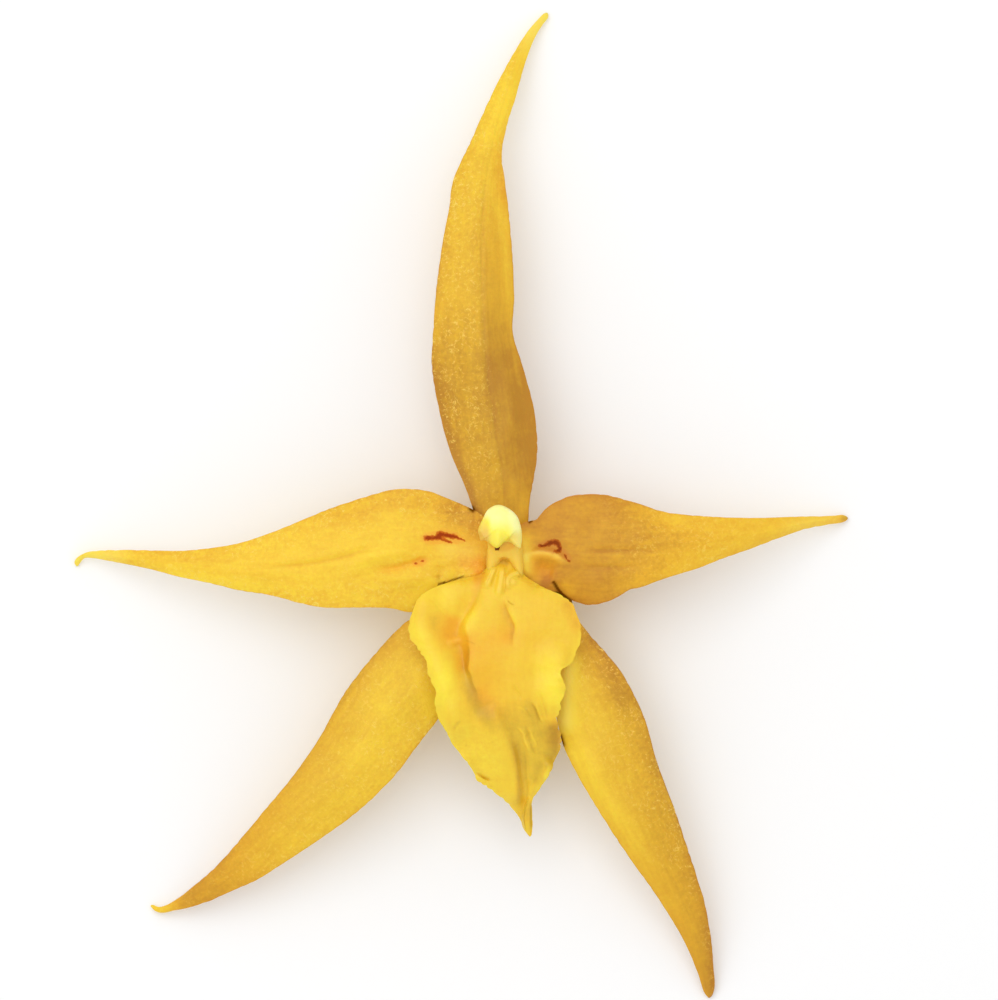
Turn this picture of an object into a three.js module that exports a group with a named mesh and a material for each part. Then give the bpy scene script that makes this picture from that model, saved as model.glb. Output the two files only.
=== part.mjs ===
import * as THREE from "three";

// One open bloom of a Brassia orchid, picked with its short stalk and laid face up.
// Units are millimetres. +Z points up out of the bloom's face and +Y along the dorsal sepal.
// Every outline below is drawn on the bloom's face, about the foot of the column.

// Blades
const edgeThickness = 0.62;
const ribThickness = 0.95;
const lipThickness = 0.8;
const steepestCosine = 0.5;
const bladeColumns = [0, 0.08, 0.3, 0.55, 0.8, 1];
const tepalRows = 28;
const lipRows = 42;
const lipColumns = 26;

// Relief of the blades
const grooveDepth = 0.22;
const grooveWidth = 0.5;
const marginWave = 0.06;
const lipSpread = 0.07;
const lipRuffle = { height: 0.34, count: 8.5, slant: 0.6 };
const foldFade = 0.25;

// Column, anther cap and pollinarium: half widths and half depths, hollows, crowns and walls
const columnFoot = { width: 2.75, depth: 2.2 };
const columnEnd = { width: 2.25, depth: 2 };
const stigmaHollow = 0.42;
const columnWing = 0.16;
const capCrown = 2.2;
const capInnerCrown = 1.75;
const capWall = 0.6;
const capBeak = { lift: 0.75, middle: -0.8, width: 1.1 };
const pollenHalfThickness = 0.3;
const pollenCleft = 0.7;

// Ovary and stalk
const ovaryRibs = { count: 6, height: 0.07, middle: 0.3, spread: 0.25 };

// Levels of the organs where they meet, from the back of the bloom to its front
const receptacleTop = 11.5;
const sepalLevel = 12.45;
const petalLevel = 14.1;
const columnFootLevel = 15.1;
const lipLevel = 16.2;
const columnEndLevel = 20.3;
const capRim = 20.5;
const tipLevel = 0.28;

// Colours and finish
const sepalColor = 0xe6ad32;
const petalColor = 0xefbc3c;
const lipColor = 0xf7cf45;
const columnColor = 0xf0c04a;
const capColor = 0xfff3a0;
const ovaryColor = 0xb9b04a;
const pollinariumColor = 0x7a2c12;

// Outlines of the sepals and petals: the left and right margins and the midrib, from base to tip
const dorsalSepal = {
  left: [
    [-2.2, 0.8], [-3.4, 4.6], [-4.4, 8], [-5.6, 11], [-8.1, 16.7], [-9.7, 22.8], [-10.8, 29.7],
    [-10.5, 36], [-10.2, 40.5], [-9.1, 48.7], [-8.2, 53.4], [-7.6, 57.6], [-4.8, 63.9], [-2.1, 70],
    [1, 76.1], [3.7, 80.5], [6.2, 83.5],
  ],
  rib: [
    [0, 0.8], [0, 10.5], [-1.5, 21], [-2.8, 31.4], [-3.4, 44], [-2.9, 56], [-1.2, 65], [0.8, 72],
    [3, 77.8], [6.6, 83.4],
  ],
  right: [
    [2.6, 0.8], [3.5, 3.6], [3.85, 6], [4.2, 10], [5.2, 16.7], [4.7, 22.8], [2.9, 29.7], [1.5, 34.5],
    [1.7, 40], [1.3, 48], [0.4, 57], [-0.2, 61.5], [0.8, 66.9], [1.8, 70], [3.5, 76.1], [5, 79.9],
    [6.9, 83.2],
  ],
};

const petalLeft = {
  left: [
    [-1.2, -0.8], [-4, -2.8], [-8, -5.6], [-11, -7.4], [-14.1, -7.9], [-17.2, -7.3], [-23, -7.2],
    [-27, -7.2], [-30.9, -6.5], [-35.4, -5.3], [-40, -4.6], [-44.6, -3.5], [-49.1, -2.6],
    [-53.7, -1.4], [-59.8, -0.2], [-62.5, 0.25], [-63.9, 0.1], [-64.8, -0.8],
  ],
  rib: [
    [-1.2, 2], [-11, 2.6], [-20.5, 1.8], [-28.7, -0.4], [-38, -1.2], [-45, -0.8], [-55, 0],
    [-62, 0.8], [-64.2, 0.5], [-65.1, -0.6],
  ],
  right: [
    [-1.2, 4.8], [-3.5, 6.6], [-6, 8.5], [-11.1, 10.4], [-14.1, 10.8], [-17.2, 10.6], [-20.2, 9.8],
    [-26.3, 7.8], [-30.9, 5.9], [-35.4, 4.1], [-40, 2.6], [-44.6, 1.8], [-49.1, 1.4], [-56.7, 1.5],
    [-61.5, 1.4], [-63.6, 1.1], [-65, 0.3], [-65.4, -0.4],
  ],
};

const petalRight = {
  left: [
    [1.2, 4], [3.2, 5.5], [5.2, 6.45], [6.5, 7.7], [8.2, 9], [10.3, 9.75], [13.2, 10], [15.5, 9.9],
    [20.1, 8.7], [24.6, 7.3], [30, 6.7], [37.6, 6.4], [45.2, 6.6], [50, 6.7], [52.5, 6.7],
  ],
  rib: [
    [1.2, 1.6], [11.8, 1.6], [19, 1.6], [27.3, 2.2], [34, 3.3], [40, 4.3], [47, 5.8], [52.6, 6.35],
  ],
  right: [
    [1.2, -1.6], [2.8, -3.2], [4.8, -4.3], [6.4, -4.7], [8.3, -4.3], [10.3, -5.7], [13.2, -6.8],
    [15.5, -6.4], [17.6, -5.5], [19.2, -4.5], [21, -4.1], [25.8, -2.4], [30, -1.1], [33, 0.1],
    [37.6, 1.7], [42.1, 3.4], [46, 4.7], [50, 5.45], [52.5, 6],
  ],
};

const lateralLeft = {
  left: [
    [-1.2, -5.2], [-2.9, -11], [-5.5, -18], [-9.8, -24.1], [-12.1, -27], [-16.7, -33],
    [-22.1, -38.2], [-28.1, -42.6], [-34.3, -46.7], [-37.5, -48.7], [-41.1, -50.3], [-44.6, -51.9],
    [-48.4, -53.1], [-50.5, -53.55], [-52, -53.85], [-53.3, -53.6],
  ],
  rib: [
    [-2.2, -4.2], [-9.8, -13.5], [-17, -21.9], [-23.6, -31], [-31.4, -38.9], [-39.7, -46.3],
    [-45.8, -50.5], [-50, -52.6], [-53.6, -53.2],
  ],
  right: [
    [-3.3, -3.4], [-8, -6.1], [-11.4, -7.9], [-14.3, -9.1], [-19.2, -14], [-23.8, -19.8],
    [-25.8, -23.2], [-27.7, -26.7], [-31.9, -32.8], [-36.8, -38.7], [-41.4, -44.2], [-44, -47],
    [-47, -49.6], [-50, -51.9], [-51.6, -52.75], [-53.8, -52.8],
  ],
};

const lateralRight = {
  left: [
    [3.4, -1.4], [6.4, -2], [8.8, -3.6], [10.3, -5.8], [11.7, -9.4], [13.2, -11.4], [15.9, -14.4],
    [18.2, -17.4], [21.4, -23.8], [23.4, -30.7], [25.9, -37.4], [28.2, -44.3], [30.4, -51.1],
    [31.2, -54.7], [31.8, -58.5], [32.1, -62.3], [32.1, -66.2],
  ],
  rib: [
    [1.4, -4], [8.5, -14.1], [14, -23.4], [18.3, -33.2], [23.1, -42.8], [27.8, -52.5],
    [30.2, -59.2], [31.6, -66.6],
  ],
  right: [
    [0, -5.6], [1.2, -10.6], [3.6, -16.5], [6.9, -21.5], [8, -23.5], [8.6, -26.1], [9.3, -28.5],
    [11.3, -32.6], [15, -38.8], [18.9, -44.8], [23.1, -50.7], [26.9, -56.8], [28.5, -60],
    [29.8, -63.3], [31, -66.8],
  ],
};

// Outline of the lip, whose rows fan out from its narrow claw
const lipOutline = {
  left: [
    [2.35, -1.1], [2.9, -1.9], [3.9, -2.75], [6.5, -4.3], [9.4, -5.7], [11.1, -7.8], [11.8, -11],
    [11.2, -13.5], [10.3, -15.6], [8.85, -16.6], [9.3, -19], [8.8, -21.4], [8.1, -24], [8.8, -27],
    [8, -30], [6.2, -33.8], [4.6, -36.3], [4.4, -38], [4.5, -40.4], [4.3, -42],
  ],
  rib: [[0, -1.1], [0, -10.5], [-0.1, -18], [0.5, -24], [1.6, -30.5], [3, -37], [4.1, -42.1]],
  right: [
    [-2.35, -1.1], [-3.2, -1.9], [-6, -2.75], [-9.8, -3.9], [-12, -5], [-13.7, -7.8],
    [-14.3, -10.6], [-13.45, -12.5], [-12.2, -14.4], [-11.55, -16.4], [-10.2, -20], [-10.1, -23],
    [-8.6, -26], [-6, -30], [-4.8, -31.5], [-4, -33.3], [-2.4, -34.4], [0.6, -36.8], [2.4, -39],
    [3.9, -42],
  ],
};

// The rim of the anther cap, from its right side over the top and around the beak
const capOutline = [
  [2.85, 4.1], [2.65, 5.3], [2.1, 6.7], [1, 7.75], [-0.7, 8.4], [-2.2, 7.75], [-3.1, 6.2],
  [-3.8, 4.5], [-3.35, 3], [-2.3, 2.8], [-1.45, 2.1], [-0.9, 1.85], [-0.3, 2.25], [0.25, 2.75],
  [1.05, 2.7], [1.9, 2.15], [2.6, 1.85], [2.85, 2.9],
];

// A fold is raised or sunk along a path and fades out at both ends of it. Each side of the path has
// its own width.
const rolledFold = [
  {
    path: [[3, 0.2], [4.4, 1], [6.1, 1.3], [7.6, 1], [8.8, 0.4], [10.2, -0.7]],
    height: 0.6, left: 0.7, right: 1.1,
  },
  { path: [[4.6, -0.8], [6.4, -1.4], [8, -1.9]], height: -0.4, left: 1.2, right: 1.4 },
];

const lipFolds = [
  // the two keels of the callus and the tongue between them
  { path: [[-1.3, -1.1], [-1.8, -2.2], [-2.8, -4.6]], height: 0.75, left: 0.6, right: 0.6 },
  { path: [[-0.1, -1.1], [-0.35, -3.2], [-0.8, -5.8]], height: 0.6, left: 0.6, right: 0.6 },
  { path: [[0.9, -4.6], [0.8, -2.7], [1.5, -2.1], [2.9, -2.5]], height: 0.6, left: 0.6, right: 0.6 },
  // the crest that stands inside the left margin
  {
    path: [[-9.4, -4.2], [-12, -6.4], [-12.8, -9.5], [-10.7, -15], [-8.5, -21], [-6, -27.6]],
    height: 1.3, left: 2.6, right: 2,
  },
  // the pinched valley beside it
  {
    path: [[-3.7, -3], [-4.9, -6.9], [-7, -11], [-6.2, -15], [-4.6, -21.6]],
    height: -1.1, left: 1, right: 2,
  },
  // the plateau, with a crisp left edge
  {
    path: [[-2.8, -5.4], [-5.4, -10], [-4.8, -13.6], [-4.4, -18], [-3.6, -20.6]],
    height: 0.55, left: 3.2, right: 0.6,
  },
  // the groove along the middle
  { path: [[-0.3, -5.2], [1, -9], [1.3, -14]], height: -0.45, left: 0.6, right: 1.7 },
  // the cupped lower right margin
  { path: [[9.6, -12], [8.6, -16], [8.8, -20], [8.3, -23.8]], height: 1.1, left: 1.4, right: 3 },
  // the keel of the lower lobe and the furrow on its right
  {
    path: [[-2, -21.5], [-0.8, -25], [0.6, -28], [2, -34], [2.3, -38]],
    height: 1, left: 1, right: 3,
  },
  { path: [[1.7, -27], [2.8, -33], [2.8, -38.2]], height: -0.5, left: 0.7, right: 0.7 },
];

function smooth(points) {
  return new THREE.CatmullRomCurve3(
    points.map(([x, y, z = 0]) => new THREE.Vector3(x, y, z)), false, "centripetal");
}

function bump(distance, width) {
  return Math.exp(-((distance / width) ** 2));
}

// Height that one fold adds at a place on the bloom's face
function foldHeight({ line, height, left, right }, x, y) {
  let nearest = Infinity;
  let side = 1;
  let share = 0;
  for (let k = 1; k < line.length; k++) {
    const from = line[k - 1];
    const alongX = line[k].x - from.x;
    const alongY = line[k].y - from.y;
    const along = ((x - from.x) * alongX + (y - from.y) * alongY) / (alongX ** 2 + alongY ** 2);
    const held = THREE.MathUtils.clamp(along, 0, 1);
    const offX = x - from.x - held * alongX;
    const offY = y - from.y - held * alongY;
    const distance = Math.hypot(offX, offY);
    if (distance < nearest) {
      nearest = distance;
      side = alongX * offY - alongY * offX;
      share = (k - 1 + held) / (line.length - 1);
    }
  }
  const { smoothstep } = THREE.MathUtils;
  const strength = smoothstep(share, 0, foldFade) * smoothstep(1 - share, 0, foldFade);
  return height * strength * bump(nearest, side > 0 ? left : right);
}

function foldField(folds) {
  const lines = folds.map((fold) => ({ ...fold, line: smooth(fold.path).getPoints(16) }));
  return (x, y) => lines.reduce((sum, fold) => sum + foldHeight(fold, x, y), 0);
}

function solid(positions, faces) {
  const geometry = new THREE.BufferGeometry();
  geometry.setAttribute("position", new THREE.Float32BufferAttribute(positions, 3));
  geometry.setIndex(faces);
  geometry.computeVertexNormals();
  return geometry;
}

function coordinates(points) {
  return points.flatMap(({ x, y, z }) => [x, y, z]);
}

// A closed thin blade over its outline. The front and the back stand one above the other and are
// split into the same triangles, so a waved blade can't cross itself. t runs from base to tip, and
// v from the right margin (-1) over the midrib (0) to the left margin (1).
function blade({ outline, rows, columns, pace = 1, heightAt, thicknessAt }) {
  const curves = [smooth(outline.left), smooth(outline.rib), smooth(outline.right)];
  const middle = [];
  for (let i = 0; i <= rows; i++) {
    const t = i / rows;
    const [left, rib, right] = curves.map((curve, k) => curve.getPointAt(k === 1 ? t ** pace : t));
    middle.push(columns.map((v) => {
      const point = rib.clone().lerp(v > 0 ? left : right, Math.abs(v));
      point.z = heightAt(t, v, point.x, point.y, left.distanceTo(right) / 2);
      return point;
    }));
  }

  const count = columns.length;
  const front = [];
  const back = [];
  const along = new THREE.Vector3();
  const across = new THREE.Vector3();
  for (let i = 0; i <= rows; i++) {
    for (let j = 0; j < count; j++) {
      along.subVectors(middle[Math.min(i + 1, rows)][j], middle[Math.max(i - 1, 0)][j]);
      across.subVectors(middle[i][Math.min(j + 1, count - 1)], middle[i][Math.max(j - 1, 0)]);
      const upright = along.cross(across).normalize().z;
      const half = thicknessAt(columns[j]) / 2 / Math.max(upright, steepestCosine);
      const { x, y, z } = middle[i][j];
      front.push(x, y, Math.max(z + half, edgeThickness));
      back.push(x, y, Math.max(z - half, 0));
    }
  }

  const faces = [];
  const under = (rows + 1) * count;
  const at = (i, j) => i * count + j;
  for (let i = 0; i < rows; i++) {
    for (let j = 0; j < count - 1; j++) {
      const [a, b, c, d] = [at(i, j), at(i + 1, j), at(i, j + 1), at(i + 1, j + 1)];
      faces.push(a, b, c, b, d, c);
      faces.push(under + a, under + c, under + b, under + b, under + c, under + d);
    }
  }
  const wall = (a, b) => faces.push(a, under + a, under + b, a, under + b, b);
  for (let i = 0; i < rows; i++) {
    wall(at(i, 0), at(i + 1, 0));
    wall(at(i + 1, count - 1), at(i, count - 1));
  }
  for (let j = 0; j < count - 1; j++) {
    wall(at(0, j + 1), at(0, j));
    wall(at(rows, j), at(rows, j + 1));
  }
  return solid([...front, ...back], faces);
}

// A sepal or petal springs from its level, arches forward and turns back down to its tip.
function tepal({ outline, level, arch, turn, reflex, waves, folds = [] }) {
  const fold = foldField(folds);
  const columns = [...bladeColumns.slice(1).reverse().map((v) => -v), ...bladeColumns];
  const heightAt = (t, v, x, y, halfWidth) => {
    const rise = arch * Math.sin(Math.PI * t) ** 1.5;
    const drop = (level - tipLevel) * t ** turn;
    const roof = reflex * halfWidth * (0.45 * Math.abs(v) + 0.55 * v * v) * Math.min(1, 3 * t);
    const groove = grooveDepth * bump(v * halfWidth, grooveWidth) * Math.sin(Math.PI * t);
    const swing = Math.sin(2 * Math.PI * (waves.count * t + waves.phase));
    const wave = marginWave * halfWidth * v ** 3 * swing;
    return level + rise - drop - roof * (1 - t ** 6) - groove + wave + fold(x, y);
  };
  const thicknessAt = (v) => THREE.MathUtils.lerp(ribThickness, edgeThickness, Math.abs(v));
  return blade({ outline, rows: tepalRows, columns, heightAt, thicknessAt });
}

// The lip arches forward from its claw, and its pointed lower lobe hangs back down.
function lip() {
  const fold = foldField(lipFolds);
  const columns = Array.from({ length: lipColumns + 1 }, (_, j) => 2 * j / lipColumns - 1);
  const profile = smooth([
    [0, lipLevel], [0.15, 17.2], [0.3, 18.2], [0.45, 18.3], [0.6, 17.4], [0.75, 15.4], [0.9, 12.2],
    [1, 9.4],
  ]);
  const heightAt = (t, v, x, y, halfWidth) => {
    const spread = lipSpread * halfWidth * v * v;
    const swing = Math.sin(2 * Math.PI * (lipRuffle.count * t + lipRuffle.slant * v));
    const ruffle = lipRuffle.height * Math.abs(v) ** 4 * swing * Math.min(1, 6 * t);
    return profile.getPoint(t).y - spread + ruffle + fold(x, y);
  };
  return blade({
    outline: lipOutline, rows: lipRows, columns, pace: 1.25, heightAt, thicknessAt: () => lipThickness,
  });
}

// A closed body through rings of points, from its first end to its last
function loft(rings) {
  const count = rings[0].length;
  const points = rings.flat();
  const faces = [];
  for (let i = 0; i < rings.length - 1; i++) {
    for (let j = 0; j < count; j++) {
      const [a, b] = [i * count + j, i * count + (j + 1) % count];
      faces.push(a, b, a + count, b, b + count, a + count);
    }
  }
  const lastStart = (rings.length - 1) * count;
  const middleOf = (ring) => {
    const sum = new THREE.Vector3();
    ring.forEach((point) => sum.add(point));
    return sum.divideScalar(count);
  };
  points.push(middleOf(rings[0]), middleOf(rings[rings.length - 1]));
  for (let j = 0; j < count; j++) {
    const next = (j + 1) % count;
    faces.push(next, j, points.length - 2);
    faces.push(lastStart + j, lastStart + next, points.length - 1);
  }
  return solid(coordinates(points), faces);
}

// Rings along a path that bends in the plane of the bloom's middle: square to the path, or level.
// The shape gives a ring's half width and half depth at an angle, which is 0 at +X.
function ringsAlong(path, steps, sides, level, shape) {
  const rings = [];
  for (let i = 0; i <= steps; i++) {
    const t = i / steps;
    const centre = path.getPointAt(t);
    const ahead = path.getTangentAt(t);
    const back = new THREE.Vector3(0, level ? 1 : ahead.z, level ? 0 : -ahead.y).normalize();
    const ring = [];
    for (let j = 0; j < sides; j++) {
      const angle = 2 * Math.PI * j / sides;
      const { width, depth } = shape(t, angle);
      const point = centre.clone().addScaledVector(back, depth * Math.sin(angle));
      point.x += width * Math.cos(angle);
      point.z = Math.max(point.z, 0);
      ring.push(point);
    }
    rings.push(ring);
  }
  return rings;
}

// The column leans back as it rises, with the stigma's hollow in its front and a wing on each side.
function column() {
  const path = smooth([
    [0.3, 1.3, columnFootLevel], [0.3, 1.5, 16.5], [0.15, 2.4, 18.4], [-0.2, 4.1, columnEndLevel],
  ]);
  const front = -Math.PI / 2;
  return loft(ringsAlong(path, 14, 28, true, (t, angle) => {
    const turned = Math.atan2(Math.sin(angle - front), Math.cos(angle - front));
    const hollow = stigmaHollow * bump(turned, 0.5) * bump(t - 0.55, 0.2);
    const wing = columnWing * bump(Math.abs(turned) - 0.9, 0.3) * bump(t - 0.6, 0.3);
    const swell = 1 - hollow + wing;
    return {
      width: THREE.MathUtils.lerp(columnFoot.width, columnEnd.width, t) * swell,
      depth: THREE.MathUtils.lerp(columnFoot.depth, columnEnd.depth, t) * swell,
    };
  }));
}

// The anther cap is a thin hood over the pollen, with a beak in front and a flap at each side.
function antherCap() {
  const middle = new THREE.Vector3(-0.4, 5.2, 0);
  const rim = new THREE.CatmullRomCurve3(
    capOutline.map(([x, y]) => new THREE.Vector3(x, y, 0)), true, "centripetal");
  const sectors = 36;
  const rings = 8;
  const points = [];
  const faces = [];
  const layer = (crown, lift) => {
    const first = points.length;
    points.push(middle.clone().setZ(capRim + crown + lift));
    for (let i = 1; i <= rings; i++) {
      const share = i / rings;
      const dome = crown * Math.sqrt(1 - (0.985 * share) ** 2.4);
      for (let k = 0; k < sectors; k++) {
        const edge = rim.getPoint(k / sectors);
        const beak = edge.y < middle.y ? capBeak.lift * bump(edge.x - capBeak.middle, capBeak.width) : 0;
        points.push(middle.clone().lerp(edge, share).setZ(capRim + lift + dome + beak * share ** 3));
      }
    }
    return first;
  };
  const outer = layer(capCrown, capWall);
  const inner = layer(capInnerCrown, 0);
  const at = (first, i, k) => first + 1 + (i - 1) * sectors + (k % sectors);
  for (let k = 0; k < sectors; k++) {
    faces.push(outer, at(outer, 1, k), at(outer, 1, k + 1));
    faces.push(inner, at(inner, 1, k + 1), at(inner, 1, k));
    for (let i = 1; i < rings; i++) {
      faces.push(at(outer, i, k), at(outer, i + 1, k), at(outer, i, k + 1));
      faces.push(at(outer, i + 1, k), at(outer, i + 1, k + 1), at(outer, i, k + 1));
      faces.push(at(inner, i, k), at(inner, i, k + 1), at(inner, i + 1, k));
      faces.push(at(inner, i + 1, k), at(inner, i, k + 1), at(inner, i + 1, k + 1));
    }
    const [a, b] = [at(outer, rings, k), at(outer, rings, k + 1)];
    const [c, d] = [at(inner, rings, k), at(inner, rings, k + 1)];
    faces.push(a, c, d, a, d, b);
  }
  return solid(coordinates(points), faces);
}

// Two pollen masses side by side under the cap, on a strap that ends in a sticky pad at the beak
function pollinarium() {
  const path = smooth([[-0.9, 1.5, 20.95], [-0.8, 2.8, 21], [-0.5, 4.4, 21.1], [-0.4, 6.1, 21.1]]);
  const widths = smooth([
    [0, 0.3], [0.1, 0.42], [0.25, 0.34], [0.45, 0.5], [0.65, 1.3], [0.85, 1.3], [1, 0.5],
  ]);
  const steps = 14;
  const sides = 16;
  const rings = [];
  for (let i = 0; i <= steps; i++) {
    const centre = path.getPointAt(i / steps);
    const width = widths.getPoint(i / steps).y;
    const ring = [];
    for (let j = 0; j < sides; j++) {
      const angle = 2 * Math.PI * j / sides;
      const inCleft = width > 0.8 && Math.abs(Math.cos(angle)) < 0.3;
      const height = pollenHalfThickness * (inCleft ? pollenCleft : 1);
      const point = centre.clone();
      point.x -= width * Math.cos(angle);
      point.z += height * Math.sin(angle);
      ring.push(point);
    }
    rings.push(ring);
  }
  return loft(rings);
}

// The ovary bends from the back of the bloom down into its stalk, which lies along the surface.
function ovaryPedicel() {
  const path = smooth([
    [0, -0.4, receptacleTop], [0, -0.6, 10.2], [0.1, -2, 7], [0.4, -6.5, 3.8], [0.8, -13, 2.3],
    [1.2, -20, 1.6], [1.6, -27, 1.35], [1.8, -34, 1.3],
  ]);
  const radii = smooth([
    [0, 3.1], [0.06, 2.5], [0.15, 2], [0.35, 2], [0.55, 1.6], [0.75, 1.35], [1, 1.35],
  ]);
  return loft(ringsAlong(path, 30, 24, false, (t, angle) => {
    const swell = ovaryRibs.height * bump(t - ovaryRibs.middle, ovaryRibs.spread);
    const radius = radii.getPoint(t).y * (1 + swell * Math.cos(ovaryRibs.count * angle));
    return { width: radius, depth: radius };
  }));
}

function finish(color, roughness) {
  return new THREE.MeshStandardMaterial({ color, roughness, metalness: 0 });
}

function organ(name, geometry, material) {
  const mesh = new THREE.Mesh(geometry, material);
  mesh.name = name;
  return mesh;
}

const sepalFinish = finish(sepalColor, 0.55);
const petalFinish = finish(petalColor, 0.55);

const bloom = new THREE.Group();
bloom.add(
  organ("dorsal_sepal", tepal({
    outline: dorsalSepal, level: sepalLevel, arch: 4, turn: 2.4, reflex: 0.3,
    waves: { count: 2.2, phase: 0.1 },
  }), sepalFinish),
  organ("lateral_sepal_left", tepal({
    outline: lateralLeft, level: sepalLevel, arch: 2.4, turn: 2.6, reflex: 0.22,
    waves: { count: 2, phase: 0.4 },
  }), sepalFinish),
  organ("lateral_sepal_right", tepal({
    outline: lateralRight, level: sepalLevel, arch: 2.4, turn: 2.6, reflex: 0.22,
    waves: { count: 2, phase: 0.7 },
  }), sepalFinish),
  organ("petal_left", tepal({
    outline: petalLeft, level: petalLevel, arch: 2.6, turn: 2.4, reflex: 0.18,
    waves: { count: 2.4, phase: 0.3 },
  }), petalFinish),
  organ("petal_right", tepal({
    outline: petalRight, level: petalLevel, arch: 2.2, turn: 2.4, reflex: 0.18,
    waves: { count: 1.8, phase: 0.8 }, folds: rolledFold,
  }), petalFinish),
  organ("lip", lip(), finish(lipColor, 0.4)),
  organ("column", column(), finish(columnColor, 0.4)),
  organ("anther_cap", antherCap(), finish(capColor, 0.3)),
  organ("pollinarium", pollinarium(), finish(pollinariumColor, 0.4)),
  organ("ovary_pedicel", ovaryPedicel(), finish(ovaryColor, 0.6)),
);

// The origin is the middle of the bloom's footprint, on the surface that it lies on.
const bounds = new THREE.Box3().setFromObject(bloom, true);
const footprint = bounds.getCenter(new THREE.Vector3());
bloom.position.set(-footprint.x, -footprint.y, -bounds.min.z);

export default bloom;
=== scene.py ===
import math

import bpy
import numpy as np
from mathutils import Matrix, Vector


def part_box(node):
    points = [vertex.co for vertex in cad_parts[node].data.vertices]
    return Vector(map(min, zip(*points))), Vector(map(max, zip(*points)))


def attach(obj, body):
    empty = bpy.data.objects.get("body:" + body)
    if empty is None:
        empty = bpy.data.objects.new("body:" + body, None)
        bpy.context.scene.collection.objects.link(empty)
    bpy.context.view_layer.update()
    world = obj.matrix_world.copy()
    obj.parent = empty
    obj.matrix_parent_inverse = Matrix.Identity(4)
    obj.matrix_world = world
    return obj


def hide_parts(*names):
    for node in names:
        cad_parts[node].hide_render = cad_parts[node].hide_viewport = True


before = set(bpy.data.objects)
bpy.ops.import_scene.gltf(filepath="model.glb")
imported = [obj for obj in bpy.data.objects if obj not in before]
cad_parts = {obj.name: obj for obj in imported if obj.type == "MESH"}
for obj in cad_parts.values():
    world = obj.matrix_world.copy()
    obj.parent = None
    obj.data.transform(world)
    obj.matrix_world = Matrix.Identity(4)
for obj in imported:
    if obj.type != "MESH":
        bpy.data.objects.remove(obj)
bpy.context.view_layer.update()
print("frame loaded:", ", ".join(sorted(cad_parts)))

mm = 0.001  # every shape below is drawn in millimetres about the column's foot

levels = {  # heights where the organs meet, from the back of the bloom to its front
    "receptacle": 11.5,
    "sepal": 12.45,
    "petal": 14.1,
    "columnFoot": 15.1,
    "lip": 16.2,
    "columnEnd": 20.3,
    "capRim": 20.5,
    "tip": 0.28,
}


# curves and small helpers

def smoothCurve(points):  # a rounded line through the points, as a function of a share from 0 to 1
    pts = np.array([[*p, 0.0] if len(p) == 2 else list(p) for p in points], float)
    last = len(pts) - 1
    ends = np.vstack([2 * pts[0] - pts[1], pts, 2 * pts[-1] - pts[-2]])

    def at(share):
        place = np.atleast_1d(share) * last
        k = np.clip(np.floor(place).astype(int), 0, last - 1)
        w = (place - k)[:, None]
        p0, p1, p2, p3 = ends[k], ends[k + 1], ends[k + 2], ends[k + 3]
        d0, d1, d2 = [np.maximum(np.linalg.norm(b - a, axis=1, keepdims=True), 1e-6) ** 0.5
                      for a, b in ((p0, p1), (p1, p2), (p2, p3))]
        start = ((p1 - p0) / d0 - (p2 - p0) / (d0 + d1) + (p2 - p1) / d1) * d1
        stop = ((p2 - p1) / d1 - (p3 - p1) / (d1 + d2) + (p3 - p2) / d2) * d1
        return (p1 + start * w + (3 * (p2 - p1) - 2 * start - stop) * w ** 2
                + (2 * (p1 - p2) + start + stop) * w ** 3)

    return at


def evenCurve(points):  # the same line, with the share measured along its length
    at = smoothCurve(points)
    shares = np.linspace(0, 1, 801)
    steps = np.linalg.norm(np.diff(at(shares), axis=0), axis=1)
    lengths = np.concatenate([[0], np.cumsum(steps)])
    return lambda share: at(np.interp(share, lengths / lengths[-1], shares))


def bump(distance, width):
    return np.exp(-(distance / width) ** 2)


def ease(value):  # 0 below 0, 1 above 1, smooth between
    held = np.clip(value, 0, 1)
    return held * held * (3 - 2 * held)


def mix(a, b, share):
    return a + (b - a) * share


def pathField(strokes, x, y):  # soft ridges or hollows along given paths, fading out at both ends
    total = np.zeros_like(x)
    pieces = 32
    for height, left, right, fade, path in strokes:
        line = smoothCurve(path)(np.linspace(0, 1, pieces + 1))[:, :2]
        reach = 3 * max(left, right)
        low, high = line.min(0) - reach, line.max(0) + reach
        near = (x > low[0]) & (x < high[0]) & (y > low[1]) & (y < high[1])
        px, py = x[near], y[near]
        nearest, side, share = np.full(px.shape, np.inf), np.zeros(px.shape), np.zeros(px.shape)
        for k, (a, b) in enumerate(zip(line[:-1], line[1:])):
            way = b - a
            held = np.clip(((px - a[0]) * way[0] + (py - a[1]) * way[1]) / (way @ way), 0, 1)
            offX, offY = px - a[0] - held * way[0], py - a[1] - held * way[1]
            distance = np.hypot(offX, offY)
            closer = distance < nearest
            nearest = np.where(closer, distance, nearest)
            side = np.where(closer, way[0] * offY - way[1] * offX, side)
            share = np.where(closer, (k + held) / pieces, share)
        strength = ease(share / fade) * ease((1 - share) / fade)
        total[near] += height * strength * bump(nearest, np.where(side > 0, left, right))
    return total


def ripple(x, y, seed, size, octaves):  # slow uneven waves in all directions, the same on every run
    rng = np.random.default_rng(seed)
    total = np.zeros_like(x)
    for octave in range(octaves):
        for _ in range(5):
            angle, phase = rng.uniform(0, 2 * math.pi, 2)
            length = size / 2 ** octave * rng.uniform(0.75, 1.3)
            along = x * math.cos(angle) + y * math.sin(angle)
            total += np.sin(2 * math.pi * along / length + phase) / 2 ** octave
    return total / 4


# outlines on the bloom's face: both margins and the midrib, from base to tip

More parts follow.
